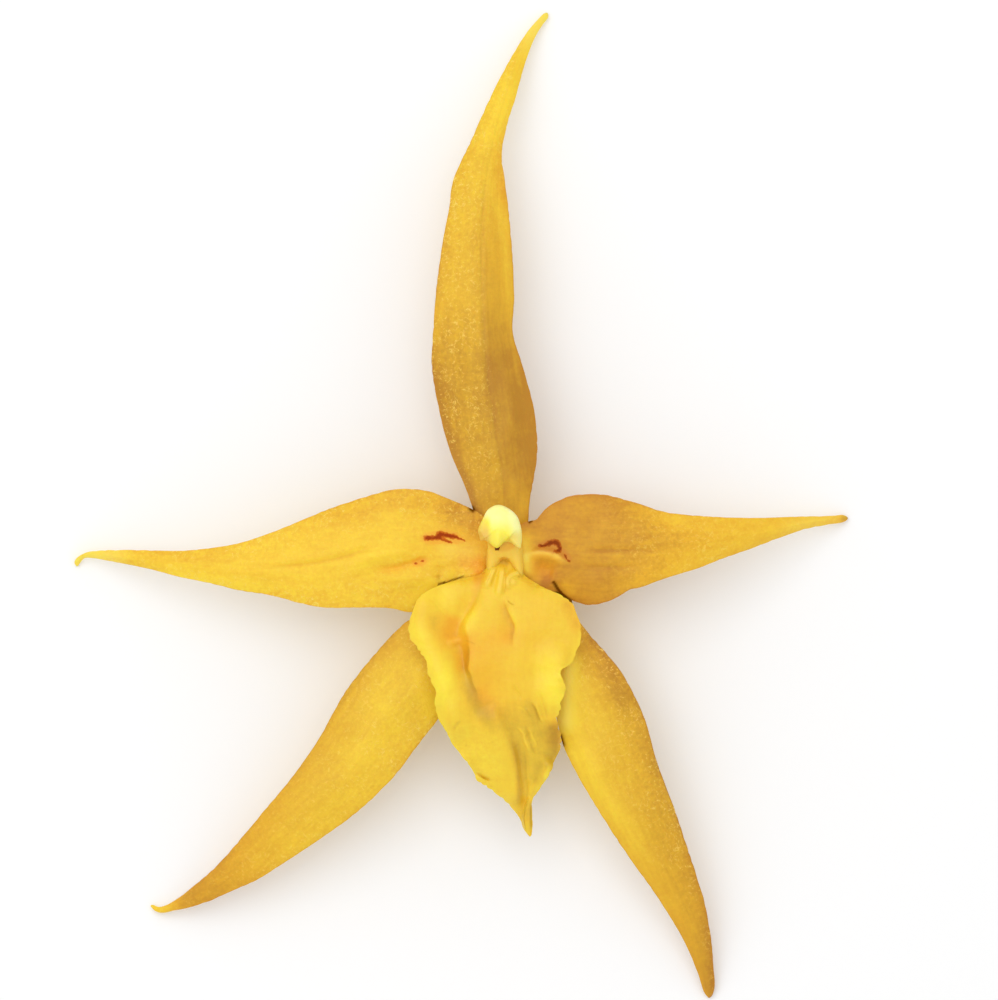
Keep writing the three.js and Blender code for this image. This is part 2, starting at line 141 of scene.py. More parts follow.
dorsalOutline = {
    "left": [(-2.2, 0.8), (-3.6, 4.6), (-4.65, 8), (-5.7, 11), (-8.1, 16.7), (-9.7, 22.8), (-10.8, 29.7),
             (-10.5, 36), (-10.2, 40.5), (-9.1, 48.7), (-8.2, 53.4), (-7.6, 57.6), (-4.8, 63.9), (-2.1, 70),
             (1, 76.1), (3.7, 80.5), (5.2, 82.3), (6.3, 83.4), (6.6, 83.5)],
    "rib": [(0, 0.8), (0, 10.5), (-1.5, 21), (-2.8, 31.4), (-3.4, 44), (-2.9, 56), (-1.2, 65), (0.8, 72),
            (3, 77.8), (5.6, 82), (6.75, 83.45)],
    "right": [(2.6, 0.8), (3.5, 3.6), (3.85, 6), (3.95, 8.2), (4.2, 10), (4.7, 12.6), (5.2, 16.7),
              (4.7, 22.8), (2.9, 29.7), (1.5, 34.5),
              (1.7, 40), (1.3, 48), (0.4, 57), (-0.2, 61.5), (0.8, 66.9), (1.8, 70), (3.5, 76.1),
              (5, 79.9), (6.1, 81.7), (6.9, 82.8), (6.9, 83.3)],
}
petalLeftOutline = {
    "left": [(-1.2, -0.8), (-4, -2.8), (-8, -5.6), (-11, -7.4), (-14.1, -7.9), (-17.2, -7.3), (-23, -7.2),
             (-27, -7.2), (-30.9, -6.5), (-35.4, -5.3), (-40, -4.6), (-44.6, -3.5), (-49.1, -2.6),
             (-53.7, -1.4), (-59.8, -0.2), (-62.5, 0.25), (-63.8, 0.25), (-64.4, -0.3), (-64.8, -0.9)],
    "rib": [(-1.2, 2), (-11, 2.6), (-20.5, 1.8), (-28.7, -0.4), (-38, -1.2), (-45, -0.8), (-55, 0),
            (-62, 0.8), (-64.2, 0.5), (-64.9, -0.4), (-65, -1)],
    "right": [(-1.2, 4.8), (-3.4, 7.0), (-4.8, 7.8), (-6.2, 8.45), (-8, 9.2), (-11.1, 10.4), (-14.1, 10.8),
              (-17.2, 10.6), (-20.2, 9.8), (-26.3, 7.8), (-30.9, 5.9), (-35.4, 4.1), (-40, 2.6),
              (-44.6, 1.8), (-49.1, 1.4), (-56.7, 1.5), (-61.5, 1.4), (-63.6, 1.1), (-65, 0.3),
              (-65.4, -0.4), (-65.15, -0.95)],
}
petalRightOutline = {
    "left": [(1.2, 4), (3.2, 5.7), (4.2, 5.95), (5.0, 6.15), (5.6, 6.8), (6.3, 7.6), (7.2, 8.35), (8.6, 9.1),
             (10.3, 9.75), (13.2, 10), (15.5, 9.9), (20.1, 8.7), (24.6, 7.3), (30, 6.7), (37.6, 6.4),
             (45.2, 6.6), (50, 6.7), (51.8, 6.85), (52.4, 6.65), (52.6, 6.45)],
    "rib": [(1.2, 1.6), (11.8, 1.6), (19, 1.6), (27.3, 2.2), (34, 3.3), (40, 4.3), (47, 5.8),
            (51, 6.2), (52.65, 6.35)],
    "right": [(1.2, -1.6), (2.8, -3.2), (4.8, -4.3), (6.4, -4.9), (7.5, -4.8), (8.3, -4.75), (9.2, -5.3),
              (10.3, -6.0), (11.5, -6.5), (13.2, -6.8), (15.5, -6.4), (17.6, -5.5), (19.2, -4.5),
              (21, -4.1), (23.1, -3.3), (25.8, -2.4), (30, -1.1), (33, 0.1), (37.6, 1.7), (42.1, 3.4),
              (46, 4.7), (50, 5.45), (51.7, 5.7), (52.4, 6.0), (52.6, 6.25)],
}
lateralLeftOutline = {
    "left": [(-1.2, -5.2), (-2.9, -11), (-5.5, -18), (-9.8, -24.1), (-12.1, -27), (-16.7, -33),
             (-22.1, -38.2), (-28.1, -42.6), (-34.3, -46.7), (-37.5, -48.7), (-41.1, -50.3),
             (-44.6, -51.9), (-48.4, -53.1), (-50.5, -53.55), (-52, -53.85), (-53.1, -53.55),
             (-53.75, -52.9)],
    "rib": [(-2.2, -4.2), (-9.8, -13.5), (-17, -21.9), (-23.6, -31), (-31.4, -38.9), (-39.7, -46.3),
            (-45.8, -50.5), (-50, -52.6), (-52.8, -53.3), (-53.75, -52.8)],
    "right": [(-3.3, -3.4), (-8, -6.1), (-11.4, -7.9), (-14.3, -9.1), (-19.2, -14), (-23.8, -19.8),
              (-25.8, -23.2), (-27.7, -26.7), (-31.9, -32.8), (-36.8, -38.7), (-41.4, -44.2),
              (-44, -47), (-47, -49.6), (-50, -51.9), (-51.6, -52.75), (-52.6, -52.95),
              (-53.4, -52.65), (-53.75, -52.7)],
}
lateralRightOutline = {
    "left": [(3.4, -1.4), (6.4, -2), (8.8, -3.6), (10.3, -5.8), (10.9, -7.6), (11.7, -9.4), (13.2, -11.4),
             (15.9, -14.4), (18.2, -17.4),
             (21.4, -23.8), (23.4, -30.7), (25.9, -37.4), (28.2, -44.3), (30.4, -51.1), (31.2, -54.7),
             (31.8, -58.5), (32.1, -62.3), (32.3, -65), (31.9, -66.5), (31.6, -66.8)],
    "rib": [(1.4, -4), (8.5, -14.1), (14, -23.4), (18.3, -33.2), (23.1, -42.8), (27.8, -52.5),
            (30.2, -59.2), (31.3, -65), (31.45, -66.85)],
    "right": [(0, -5.6), (1.2, -10.6), (3.6, -16.5), (6.9, -21.5), (8, -23.5), (8.6, -26.1), (9.3, -28.5),
              (11.3, -32.6), (15, -38.8), (18.9, -44.8), (23.1, -50.7), (26.9, -56.8), (28.5, -60),
              (29.8, -63.3), (30.7, -66), (31.3, -66.8)],
}
lipOutline = {
    "left": [(2.0, 0.5), (2.3, -0.9), (2.9, -1.9), (3.9, -2.75), (5.2, -3.6), (6.5, -4.3), (8.2, -5.0),
             (9.4, -5.7), (10.4, -6.5), (11.1, -7.8), (11.6, -9.2), (11.8, -11), (11.7, -12.6),
             (11.2, -13.5), (10.85, -14.6), (10.3, -15.6), (9.6, -16.1), (8.85, -16.6), (8.8, -17.5),
             (9.4, -19), (9.2, -20.5), (8.8, -21.4), (8.6, -22.8), (8.1, -24), (8.45, -25.6), (8.8, -27),
             (8.6, -28.6), (8, -30), (7.2, -32.2), (6.2, -33.8), (5.2, -35.3), (4.5, -36.3), (4.4, -38),
             (4.5, -40.4), (4.35, -41.8)],
    "rib": [(0, 0.5), (0, -10.5), (-0.1, -18), (0.5, -24), (1.6, -30.5), (3, -37), (4.1, -42.1)],
    "right": [(-2.0, 0.5), (-2.3, -0.9), (-3.2, -1.9), (-6, -2.75), (-9.8, -3.9), (-12, -5), (-13.1, -6.2),
              (-13.7, -7.8), (-14.2, -9.5), (-14.3, -10.6), (-14, -12), (-13.45, -12.5), (-13, -13.2),
              (-12.2, -14.4), (-11.5, -15.3), (-11.55, -16.4), (-11, -18), (-10.2, -20), (-10.35, -21),
              (-10.1, -23), (-9.5, -24.6), (-8.6, -26), (-7.6, -28), (-6, -30), (-4.8, -31.5), (-4, -33.3),
              (-2.4, -34.4), (-0.8, -35.6), (0.6, -36.8), (2.4, -39), (3.2, -41), (3.9, -41.9)],
}

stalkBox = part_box("ovary_pedicel")
shift = Vector((
    (stalkBox[0].x + stalkBox[1].x) / 2,
    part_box("dorsal_sepal")[1].y - dorsalOutline["left"][-1][1] * mm,
    0.0,
))


def addMesh(name, points, faces, replaced, material):
    verts = np.asarray(points, float) * mm + np.array(shift)
    mesh = bpy.data.meshes.new(name)
    mesh.from_pydata(verts.tolist(), [], faces)
    plan = mesh.attributes.new("plan", "FLOAT_VECTOR", "POINT")  # place on the bloom, in millimetres
    plan.data.foreach_set("vector", np.asarray(points, np.float32).ravel())
    mesh.polygons.foreach_set("use_smooth", [True] * len(mesh.polygons))
    mesh.set_sharp_from_angle(angle=math.radians(60))
    mesh.materials.append(material)
    piece = bpy.data.objects.new(name, mesh)
    bpy.context.scene.collection.objects.link(piece)
    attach(piece, "root")
    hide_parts(replaced)
    return piece


def paint(piece, **layers):  # numbers for every point, read by the material
    for name, values in layers.items():
        values = np.asarray(values, np.float32)
        kind = "FLOAT_VECTOR" if values.ndim == 2 else "FLOAT"
        stored = piece.data.attributes.new(name, kind, "POINT")
        stored.data.foreach_set("vector" if values.ndim == 2 else "value", values.ravel())


# materials

def feed(tree, socket, value):
    if isinstance(value, bpy.types.NodeSocket):
        tree.links.new(value, socket)
    elif isinstance(value, tuple):
        socket.default_value = (*value, 1) if len(socket.default_value) == 4 else value
    else:
        socket.default_value = value


def math2(tree, operation, a, b, clamp=False):
    node = tree.nodes.new("ShaderNodeMath")
    node.operation = operation
    node.use_clamp = clamp
    feed(tree, node.inputs[0], a)
    feed(tree, node.inputs[1], b)
    return node.outputs[0]


def mixColor(tree, share, a, b, blend="MIX"):
    node = tree.nodes.new("ShaderNodeMix")
    node.data_type = "RGBA"
    node.blend_type = blend
    for socket, value in ((node.inputs[0], share), (node.inputs[6], a), (node.inputs[7], b)):
        feed(tree, socket, value)
    return node.outputs[2]


def noiseTexture(tree, coords, scale, detail=3.0, roughness=0.55, distortion=0.0):
    node = tree.nodes.new("ShaderNodeTexNoise")
    for name, value in (("Scale", scale), ("Detail", detail), ("Roughness", roughness),
                        ("Distortion", distortion), ("Vector", coords)):
        feed(tree, node.inputs[name], value)
    return node.outputs["Fac"]


def ramp(tree, value, low, high):  # 0 at low, 1 at high, smooth between
    node = tree.nodes.new("ShaderNodeMapRange")
    node.interpolation_type = "SMOOTHSTEP"
    for name, number in (("Value", value), ("From Min", low), ("From Max", high)):
        feed(tree, node.inputs[name], number)
    return node.outputs["Result"]


def layer(tree, name, output="Fac"):
    node = tree.nodes.new("ShaderNodeAttribute")
    node.attribute_name = name
    return node.outputs[output]


def stretched(tree, coords, scale):
    node = tree.nodes.new("ShaderNodeMapping")
    feed(tree, node.inputs["Vector"], coords)
    node.inputs["Scale"].default_value = scale
    return node.outputs[0]


def centred(tree, value, strength):  # noise of 0..1 turned into a swing about 0
    return math2(tree, "MULTIPLY", math2(tree, "SUBTRACT", value, 0.5), strength)


def srgb(r, g, b):  # a screen colour of 0..255 as the renderer's linear colour
    return tuple((c / 255 / 12.92) if c / 255 <= 0.04045 else ((c / 255 + 0.055) / 1.055) ** 2.4
                 for c in (r, g, b))


daubEdge = {
    "scale": 2.4,
    "detail": 3,
    "shift": 0.6,  # the noise moves an edge by up to half of this to each side, in millimetres
    "depth": 1000,  # a daub takes in every height
}


def daubs(tree, coords, strokes):  # merged soft dabs with ragged edges, each (x, y, length, width, degrees)
    edgeShift = daubEdge["shift"]
    wobble = tree.nodes.new("ShaderNodeTexNoise")
    wobble.inputs["Scale"].default_value = daubEdge["scale"]
    wobble.inputs["Detail"].default_value = daubEdge["detail"]
    tree.links.new(coords, wobble.inputs["Vector"])
    bent = tree.nodes.new("ShaderNodeVectorMath")
    bent.operation = "MULTIPLY_ADD"
    bent.inputs[1].default_value = (edgeShift, edgeShift, 0)
    tree.links.new(wobble.outputs["Color"], bent.inputs[0])
    tree.links.new(coords, bent.inputs[2])
    total = None
    for x, y, length, width, degrees in strokes:
        place = tree.nodes.new("ShaderNodeMapping")
        place.vector_type = "TEXTURE"
        place.inputs["Location"].default_value = (x + edgeShift / 2, y + edgeShift / 2, 0)
        place.inputs["Rotation"].default_value = (0, 0, math.radians(degrees))
        place.inputs["Scale"].default_value = (length, width, daubEdge["depth"])
        tree.links.new(bent.outputs[0], place.inputs["Vector"])
        ball = tree.nodes.new("ShaderNodeTexGradient")
        ball.gradient_type = "SPHERICAL"
        tree.links.new(place.outputs[0], ball.inputs["Vector"])
        total = ball.outputs["Fac"] if total is None else math2(tree, "ADD", total, ball.outputs["Fac"])
    return total


tissueNoise = {  # scales are cells of noise per millimetre
    "blotchScale": 0.32,
    "streakStretch": (1.5, 0.16, 1),
    "grainScale": 1.9, "grainRoughness": 0.62,
    "fineScale": 4.5,
    "wanderScale": 0.95, "wanderBend": 0.8,
    "patchScale": 0.22,
    "smoothGrain": 0.45, "glitterGrain": 0.75,  # grain of smooth tissue, and what glitter adds to it
    "wormWidth": (0.004, 0.035),
    "wormPatches": (0.46, 0.62),
    "paleShare": 0.6,
    "bumpHeight": 0.12, "grainBump": 0.8, "wormBump": 0.5,
    "glossSwing": 0.2,
    "fleshRadius": (1.0, 0.5, 0.1), "fleshDepth": 1.2,
}
markSteps = {  # where each colour of a mark fades in
    "halo": (0.0, 0.5), "haloShare": 0.6,
    "edge": (0.1, 0.45),
    "core": (0.5, 1.05),
    "matte": (0.1, 0.6), "matteShare": 0.7,
}


def tissueMaterial(name, look, marks=None):  # the flesh of every organ, with its own colours and grain
    material = bpy.data.materials.new(name)
    material.use_nodes = True
    tree = material.node_tree
    shader = tree.nodes["Principled BSDF"]
    coords = layer(tree, "plan", "Vector")
    grainSpace = layer(tree, "lengthwise", "Vector")
    glitter = layer(tree, "glitter")
    noise = tissueNoise

    blotch = noiseTexture(tree, coords, noise["blotchScale"])
    streak = noiseTexture(tree, stretched(tree, grainSpace, noise["streakStretch"]), 1.0)
    grain = noiseTexture(tree, coords, noise["grainScale"], 3, noise["grainRoughness"])
    fine = noiseTexture(tree, coords, noise["fineScale"], 2)
    wander = noiseTexture(tree, coords, noise["wanderScale"], 2, 0.5, noise["wanderBend"])
    coarse = math2(tree, "ADD", math2(tree, "MULTIPLY", glitter, noise["glitterGrain"]), noise["smoothGrain"])
    # the tone layer holds the tissue's own tone and painted light and shade; with the noise it runs from the
    # deep colour, tissue in shade, to the bright colour, tissue in light
    level = layer(tree, "tone")
    for source, strength in ((blotch, look["blotch"]), (streak, look["streak"])):
        level = math2(tree, "ADD", level, centred(tree, source, strength))
    for source, strength in ((grain, look["grain"]), (wander, look["mottle"])):
        level = math2(tree, "ADD", level, math2(tree, "MULTIPLY", centred(tree, source, strength), coarse))
    lower = math2(tree, "MULTIPLY", level, 2.0, clamp=True)
    upper = math2(tree, "SUBTRACT", math2(tree, "MULTIPLY", level, 2.0), 1.0, clamp=True)
    color = mixColor(tree, lower, look["deep"], look["middle"])
    color = mixColor(tree, upper, color, look["bright"])

    # pale worm-like specks in the glint colour, where the glitter layer allows: painted glints of the
    # tissue's sparkle
    apart = math2(tree, "ABSOLUTE", math2(tree, "SUBTRACT", wander, 0.5), 0.0)
    patchy = math2(tree, "ADD", grain, centred(tree, noiseTexture(tree, coords, noise["patchScale"], 2), 0.5))
    worms = math2(tree, "SUBTRACT", 1.0, ramp(tree, apart, *noise["wormWidth"]))
    worms = math2(tree, "MULTIPLY", worms, ramp(tree, patchy, *noise["wormPatches"]))
    worms = math2(tree, "MULTIPLY", worms, glitter)
    color = mixColor(tree, math2(tree, "MULTIPLY", worms, look["worms"]), color, look["glint"])
    # the pale layer whitens paler tissue and adds painted light on ridges and on shadowed strips
    paleness = math2(tree, "MULTIPLY", layer(tree, "pale"), noise["paleShare"])
    color = mixColor(tree, paleness, color, look["paleTint"])
    # the warm layer holds the tissue's own warmer parts and the deeper orange painted where shade falls
    color = mixColor(tree, layer(tree, "warm"), color, look["warmTint"], "MULTIPLY")
    matte = layer(tree, "line")  # dark lines, mostly painted shadow in gaps and creases, and marks have no sheen
    color = mixColor(tree, matte, color, look["lineTint"], "MULTIPLY")
    if marks:
        halo = ramp(tree, daubs(tree, coords, marks["halo"]), *markSteps["halo"])
        color = mixColor(tree, math2(tree, "MULTIPLY", halo, markSteps["haloShare"]), color, marks["glow"])
        spots = daubs(tree, coords, marks["strokes"])
        for part in ("edge", "core"):
            color = mixColor(tree, ramp(tree, spots, *markSteps[part]), color, marks[part])
        dull = math2(tree, "MULTIPLY", ramp(tree, spots, *markSteps["matte"]), markSteps["matteShare"])
        matte = math2(tree, "MAXIMUM", matte, dull)
    feed(tree, shader.inputs["Base Color"], color)

    relief = tree.nodes.new("ShaderNodeBump")
    relief.inputs["Strength"].default_value = look["relief"]
    relief.inputs["Distance"].default_value = noise["bumpHeight"] * mm
    height = math2(tree, "ADD", fine, math2(tree, "MULTIPLY", grain, noise["grainBump"]))
    height = math2(tree, "MULTIPLY", height, coarse)
    height = math2(tree, "ADD", height, math2(tree, "MULTIPLY", worms, noise["wormBump"]))
    feed(tree, relief.inputs["Height"], height)
    feed(tree, shader.inputs["Normal"], relief.outputs[0])
    swing = math2(tree, "MULTIPLY", grain, noise["glossSwing"])
    gloss = math2(tree, "ADD", swing, look["roughness"] - noise["glossSwing"] / 2)
    feed(tree, shader.inputs["Roughness"], gloss)
    shader.inputs["Subsurface Weight"].default_value = look["flesh"]
    shader.inputs["Subsurface Radius"].default_value = noise["fleshRadius"]
    shader.inputs["Subsurface Scale"].default_value = noise["fleshDepth"] * mm
    sheen = math2(tree, "MULTIPLY", math2(tree, "SUBTRACT", 1.0, matte, clamp=True), look["specular"])
    feed(tree, shader.inputs["Specular IOR Level"], sheen)
    return material


sepalLook = {
    "deep": srgb(184, 130, 30), "middle": srgb(222, 173, 38), "bright": srgb(244, 208, 52),
    "glint": srgb(250, 216, 104), "paleTint": srgb(252, 232, 108), "warmTint": (1.0, 0.74, 0.55),
    "lineTint": (0.24, 0.17, 0.06),
    "blotch": 0.3, "streak": 0.32, "grain": 0.52, "mottle": 0.2, "worms": 0.75,
    "relief": 0.45, "roughness": 0.5, "specular": 0.3, "flesh": 0.2,
}
petalLook = dict(
    sepalLook, deep=srgb(196, 136, 30), middle=srgb(232, 180, 40), bright=srgb(247, 211, 54),
    grain=0.6, mottle=0.4,
)
lipLook = dict(
    sepalLook, deep=srgb(190, 153, 38), middle=srgb(238, 199, 50), bright=srgb(251, 229, 62),
    paleTint=srgb(246, 206, 92), lineTint=(0.42, 0.26, 0.08),
    blotch=0.3, streak=0.18, grain=0.42, mottle=0.2, worms=0.06,
    relief=0.24, roughness=0.42, specular=0.35,
)
columnLook = dict(
    lipLook, deep=srgb(196, 140, 36), middle=srgb(234, 184, 56), bright=srgb(248, 212, 82),
    grain=0.2, mottle=0.0, relief=0.14, flesh=0.3,
)
capLook = dict(
    lipLook, deep=srgb(236, 196, 92), middle=srgb(252, 236, 76), bright=srgb(254, 251, 164),
    warmTint=(1.0, 0.88, 0.8),
    blotch=0.12, streak=0.0, grain=0.06, mottle=0.0, worms=0.0, relief=0.06, roughness=0.32, specular=0.45,
)
pollenLook = dict(
    lipLook, deep=srgb(84, 36, 2), middle=srgb(118, 58, 6), bright=srgb(160, 88, 20),
    grain=0.2, worms=0.0, roughness=0.6, specular=0.12,
)
stalkLook = dict(
    sepalLook, deep=srgb(132, 132, 56), middle=srgb(172, 166, 74), bright=srgb(214, 196, 92),
    worms=0.25, relief=0.25,
)

leftMarks = {
    "strokes": [(-11.6, 3.35, 0.75, 0.62, 0), (-10.9, 3.4, 1.0, 0.55, 5), (-10.1, 3.4, 0.8, 0.62, 20),
                (-9.6, 3.95, 0.75, 0.78, 30), (-8.9, 3.85, 1.0, 0.62, -8), (-8.2, 3.7, 0.8, 0.5, -10),
                (-7.5, 3.6, 0.85, 0.55, -8), (-6.8, 3.35, 0.75, 0.36, -22), (-6.1, 3.1, 0.6, 0.24, -25),
                (-9.3, 3.2, 1.1, 0.34, -14), (-8.3, 2.8, 0.95, 0.28, -12),
                (-13.15, -0.5, 0.35, 0.26, 0), (-12.2, -0.15, 0.4, 0.26, 0)],
    "halo": [(-10.8, 3.3, 2.2, 1.3, 0), (-8.8, 3.5, 2.2, 1.5, -8), (-7.4, 3.3, 2, 1.1, -15),
             (-12.7, -0.3, 1.6, 0.9, 15)],
    "glow": srgb(238, 164, 44),
    "edge": srgb(206, 108, 20),
    "core": srgb(160, 58, 0),
}
rightMarks = {
    "strokes": [(5.7, 2.2, 0.6, 0.3, 0), (6.3, 2.2, 0.75, 0.4, 20), (6.9, 2.5, 0.8, 0.55, 25),
                (7.6, 2.75, 0.9, 0.62, 6), (8.25, 2.6, 0.7, 0.62, -30), (8.55, 2.0, 0.7, 0.55, -80),
                (8.6, 1.5, 0.55, 0.5, -95), (8.15, 1.35, 0.6, 0.4, -10),
                (9.4, 0.7, 0.45, 0.32, -45), (10.05, -0.1, 0.34, 0.28, 0), (9.7, 0.3, 0.5, 0.14, -50)],
    "halo": [(6.6, 2.3, 2, 1.1, 15), (7.6, 2.0, 1.5, 1.3, 0), (7.6, 2.1, 1.1, 0.9, 0),
             (9.4, 0.8, 1.6, 0.8, -45)],
    "glow": srgb(206, 126, 34),
    "edge": srgb(182, 94, 16),
    "core": srgb(140, 58, 0),
}

sepalMaterial = tissueMaterial("sepalTissue", sepalLook)
leftPetalMaterial = tissueMaterial("petalTissueLeft", petalLook, leftMarks)
rightPetalMaterial = tissueMaterial("petalTissueRight", petalLook, rightMarks)
print("petal materials ready")


# thin blades: sepals, petals and lip

def scallops(length, pitch, seed):  # rounded lobes with small notches between them, unevenly spaced
    drift = 1.3 * np.sin(0.9 * length / pitch + seed) + 0.8 * np.sin(2.3 * length / pitch + 2 * seed)
    depth = 0.65 + 0.35 * np.sin(0.43 * length / pitch + 3 * seed)
    return depth * (np.abs(np.sin(math.pi * length / pitch + drift)) ** 0.7 - 0.6)


def bladeGrid(outline, rows, columns, pace, ragged):
    shares = np.linspace(0, 1, rows + 1)
    rib = evenCurve(outline["rib"])(shares ** pace)
    edges = {}
    for side, seed in (("left", ragged["seed"]), ("right", ragged["seed"] + 5)):
        edge = evenCurve(outline[side])(shares)
        length = np.concatenate([[0], np.cumsum(np.linalg.norm(np.diff(edge, axis=0), axis=1))])
        outward = edge - rib
        outward /= np.maximum(np.linalg.norm(outward, axis=1, keepdims=True), 0.5)
        held = ease(12 * shares) * ease(12 * (1 - shares))  # smooth at the base and the tip
        teeth = ragged["size"] * scallops(length, ragged["pitch"], seed) * held
        edges[side] = edge + teeth[:, None] * outward
    left, right = edges["left"], edges["right"]
    v = np.broadcast_to(np.linspace(-1, 1, columns + 1), (rows + 1, columns + 1))
    t = np.broadcast_to(shares[:, None], v.shape)
    edge = np.where((v > 0)[..., None], left[:, None], right[:, None])
    plan = rib[:, None] + np.abs(v)[..., None] * (edge - rib[:, None])
    halfWidth = np.broadcast_to(np.linalg.norm(left - right, axis=1)[:, None] / 2, v.shape)
    return t, v, plan[..., 0].copy(), plan[..., 1].copy(), halfWidth


thinnest = 0.1  # least height of a blade's front above its back


def closedBlade(x, y, z, thickness, keel):  # front and back stand one above the other
    rows, columns = x.shape
    middle = np.stack([x, y, z], -1)
    normal = np.cross(np.gradient(middle, axis=0), np.gradient(middle, axis=1))
    normal /= np.linalg.norm(normal, axis=-1, keepdims=True)
    lift = thickness / 2 / np.maximum(normal[..., 2], 0.5)  # a slope is thicker measured upright
    back = np.maximum(z - lift - keel, 0)
    front = np.maximum(z + lift, back + thinnest)
    count = rows * columns
    index = np.arange(count).reshape(rows, columns)
    a, b, c, d = index[:-1, :-1], index[1:, :-1], index[1:, 1:], index[:-1, 1:]
    faces = np.stack([a, b, c, d], -1).reshape(-1, 4).tolist()
    faces += (np.stack([a, d, c, b], -1).reshape(-1, 4) + count).tolist()
    loop = np.concatenate([index[:, 0], index[-1, 1:], index[-2::-1, -1], index[0, -2:0:-1]]).tolist()
    for p, q in zip(loop, loop[1:] + loop[:1]):
        faces.append([p, p + count, q + count, q])
    points = np.concatenate([np.dstack([x, y, height]).reshape(-1, 3) for height in (front, back)])
    return points, faces


def bothSides(values):  # the same number on the front and the back of a blade
    return np.concatenate([np.asarray(values).ravel()] * 2)


def lengthwise(t, v, halfWidth, length):  # millimetres across and along the blade
    grid = np.dstack([v * halfWidth, t * length, 0 * v]).reshape(-1, 3)
    return np.concatenate([grid, grid])


bladeFinish = {
    "rows": 250,
    "columns": 84,
    "ribThickness": 0.85,
    "edgeThickness": 0.3,
    "veins": 13,
    "veinDepth": 0.02,
    "veinShade": 0.015,
    "keel": 0.3,
    "keelWidth": 0.55,
    "grooveWidth": 0.5,
    "lineWidth": 0.2,
    "waveHeight": 0.06,  # as a share of the half width
    "unevenHeight": 0.14,
    "unevenSize": 10,
    "rimShade": 0.2,
    "rimWidth": 1.4,
    "ragged": {"size": 0.1, "pitch": 2.6},
}


def tepalVeins(t, v, half, seed):
    veins = np.cos((v + 0.05 * np.sin(9 * v + seed)) * math.pi * bladeFinish["veins"] / 2) ** 8
    return veins * np.minimum(1, half / 4) * ease(0.5 + 0.7 * ripple(v * 9, t * 5, seed, 3, 1))


def tepalMiddle(form, t, v, x, y, half, veins):  # height of the blade's middle layer
    finish = bladeFinish
    rise = form["arch"] * np.sin(math.pi * t) ** 1.5
    drop = (form["level"] - levels["tip"]) * t ** form["turn"]
    roof = form["reflex"] * half * (0.45 * np.abs(v) + 0.55 * v * v) * np.minimum(1, 3 * t) * (1 - t ** 6)
    groove = form["groove"] * bump(v * half, finish["grooveWidth"]) * np.sin(math.pi * t)
    waves = np.sin(2 * math.pi * (form["waves"] * t + form["phase"]))
    wave = finish["waveHeight"] * half * v ** 3 * waves
    uneven = finish["unevenHeight"] * ripple(x, y, form["seed"], finish["unevenSize"], 3)
    uneven = uneven * np.minimum(1, half / 5) * ease(8 * t)
    z = form["level"] + rise - drop - roof - groove + wave + uneven - finish["veinDepth"] * veins
    return z + pathField(form["folds"], x, y)


def addTepal(name, outline, form, material):
    finish = bladeFinish
    ragged = dict(finish["ragged"], seed=form["seed"])
    t, v, x, y, half = bladeGrid(outline, finish["rows"], finish["columns"], 1.0, ragged)
    veins = tepalVeins(t, v, half, form["seed"])
    z = tepalMiddle(form, t, v, x, y, half, veins)
    thickness = mix(finish["ribThickness"], finish["edgeThickness"], np.abs(v) ** 1.5)
    thickness = thickness * np.minimum(1, 0.4 + half / 3)
    keel = finish["keel"] * bump(v * half, finish["keelWidth"]) * np.sin(math.pi * t) ** 0.5
    points, faces = closedBlade(x, y, z, thickness, keel)
    piece = addMesh(name, points, faces, form["node"], material)
    fromEdge = half * (1 - np.abs(v))
    # the tone layer carries painted light and shade: the form's own gradient, the shading strokes and painted
    # shade along the rim
    rim = ease((np.abs(v) - 0.95) / 0.05) + 0.5 * ease((finish["rimWidth"] - fromEdge) / finish["rimWidth"])
    tone = form["tone"](t, v, half) + pathField(form["paintedShading"], x, y)
    tone = tone - finish["rimShade"] * rim * ease(6 * (1 - t))
    # thin dark lines: the midrib, the veins and painted shadow in gaps and creases
    line = form["line"] * bump(v * half, finish["lineWidth"]) * np.sin(math.pi * t)
    line = line + finish["veinShade"] * veins + pathField(form["shadowLines"], x, y)
    paint(
        piece,
        tone=bothSides(tone),
        warm=bothSides(np.clip(form["warm"](t, v) + pathField(form["warmStainsAndShade"], x, y), 0, 1)),
        pale=bothSides(np.clip(pathField(form["palesAndHighlights"], x, y), 0, 1)),
        glitter=bothSides(np.clip(form["glitter"](t, v), 0, 1)),
        line=bothSides(np.clip(line, 0, 1)),
        lengthwise=lengthwise(t, v, half, form["length"]),
    )
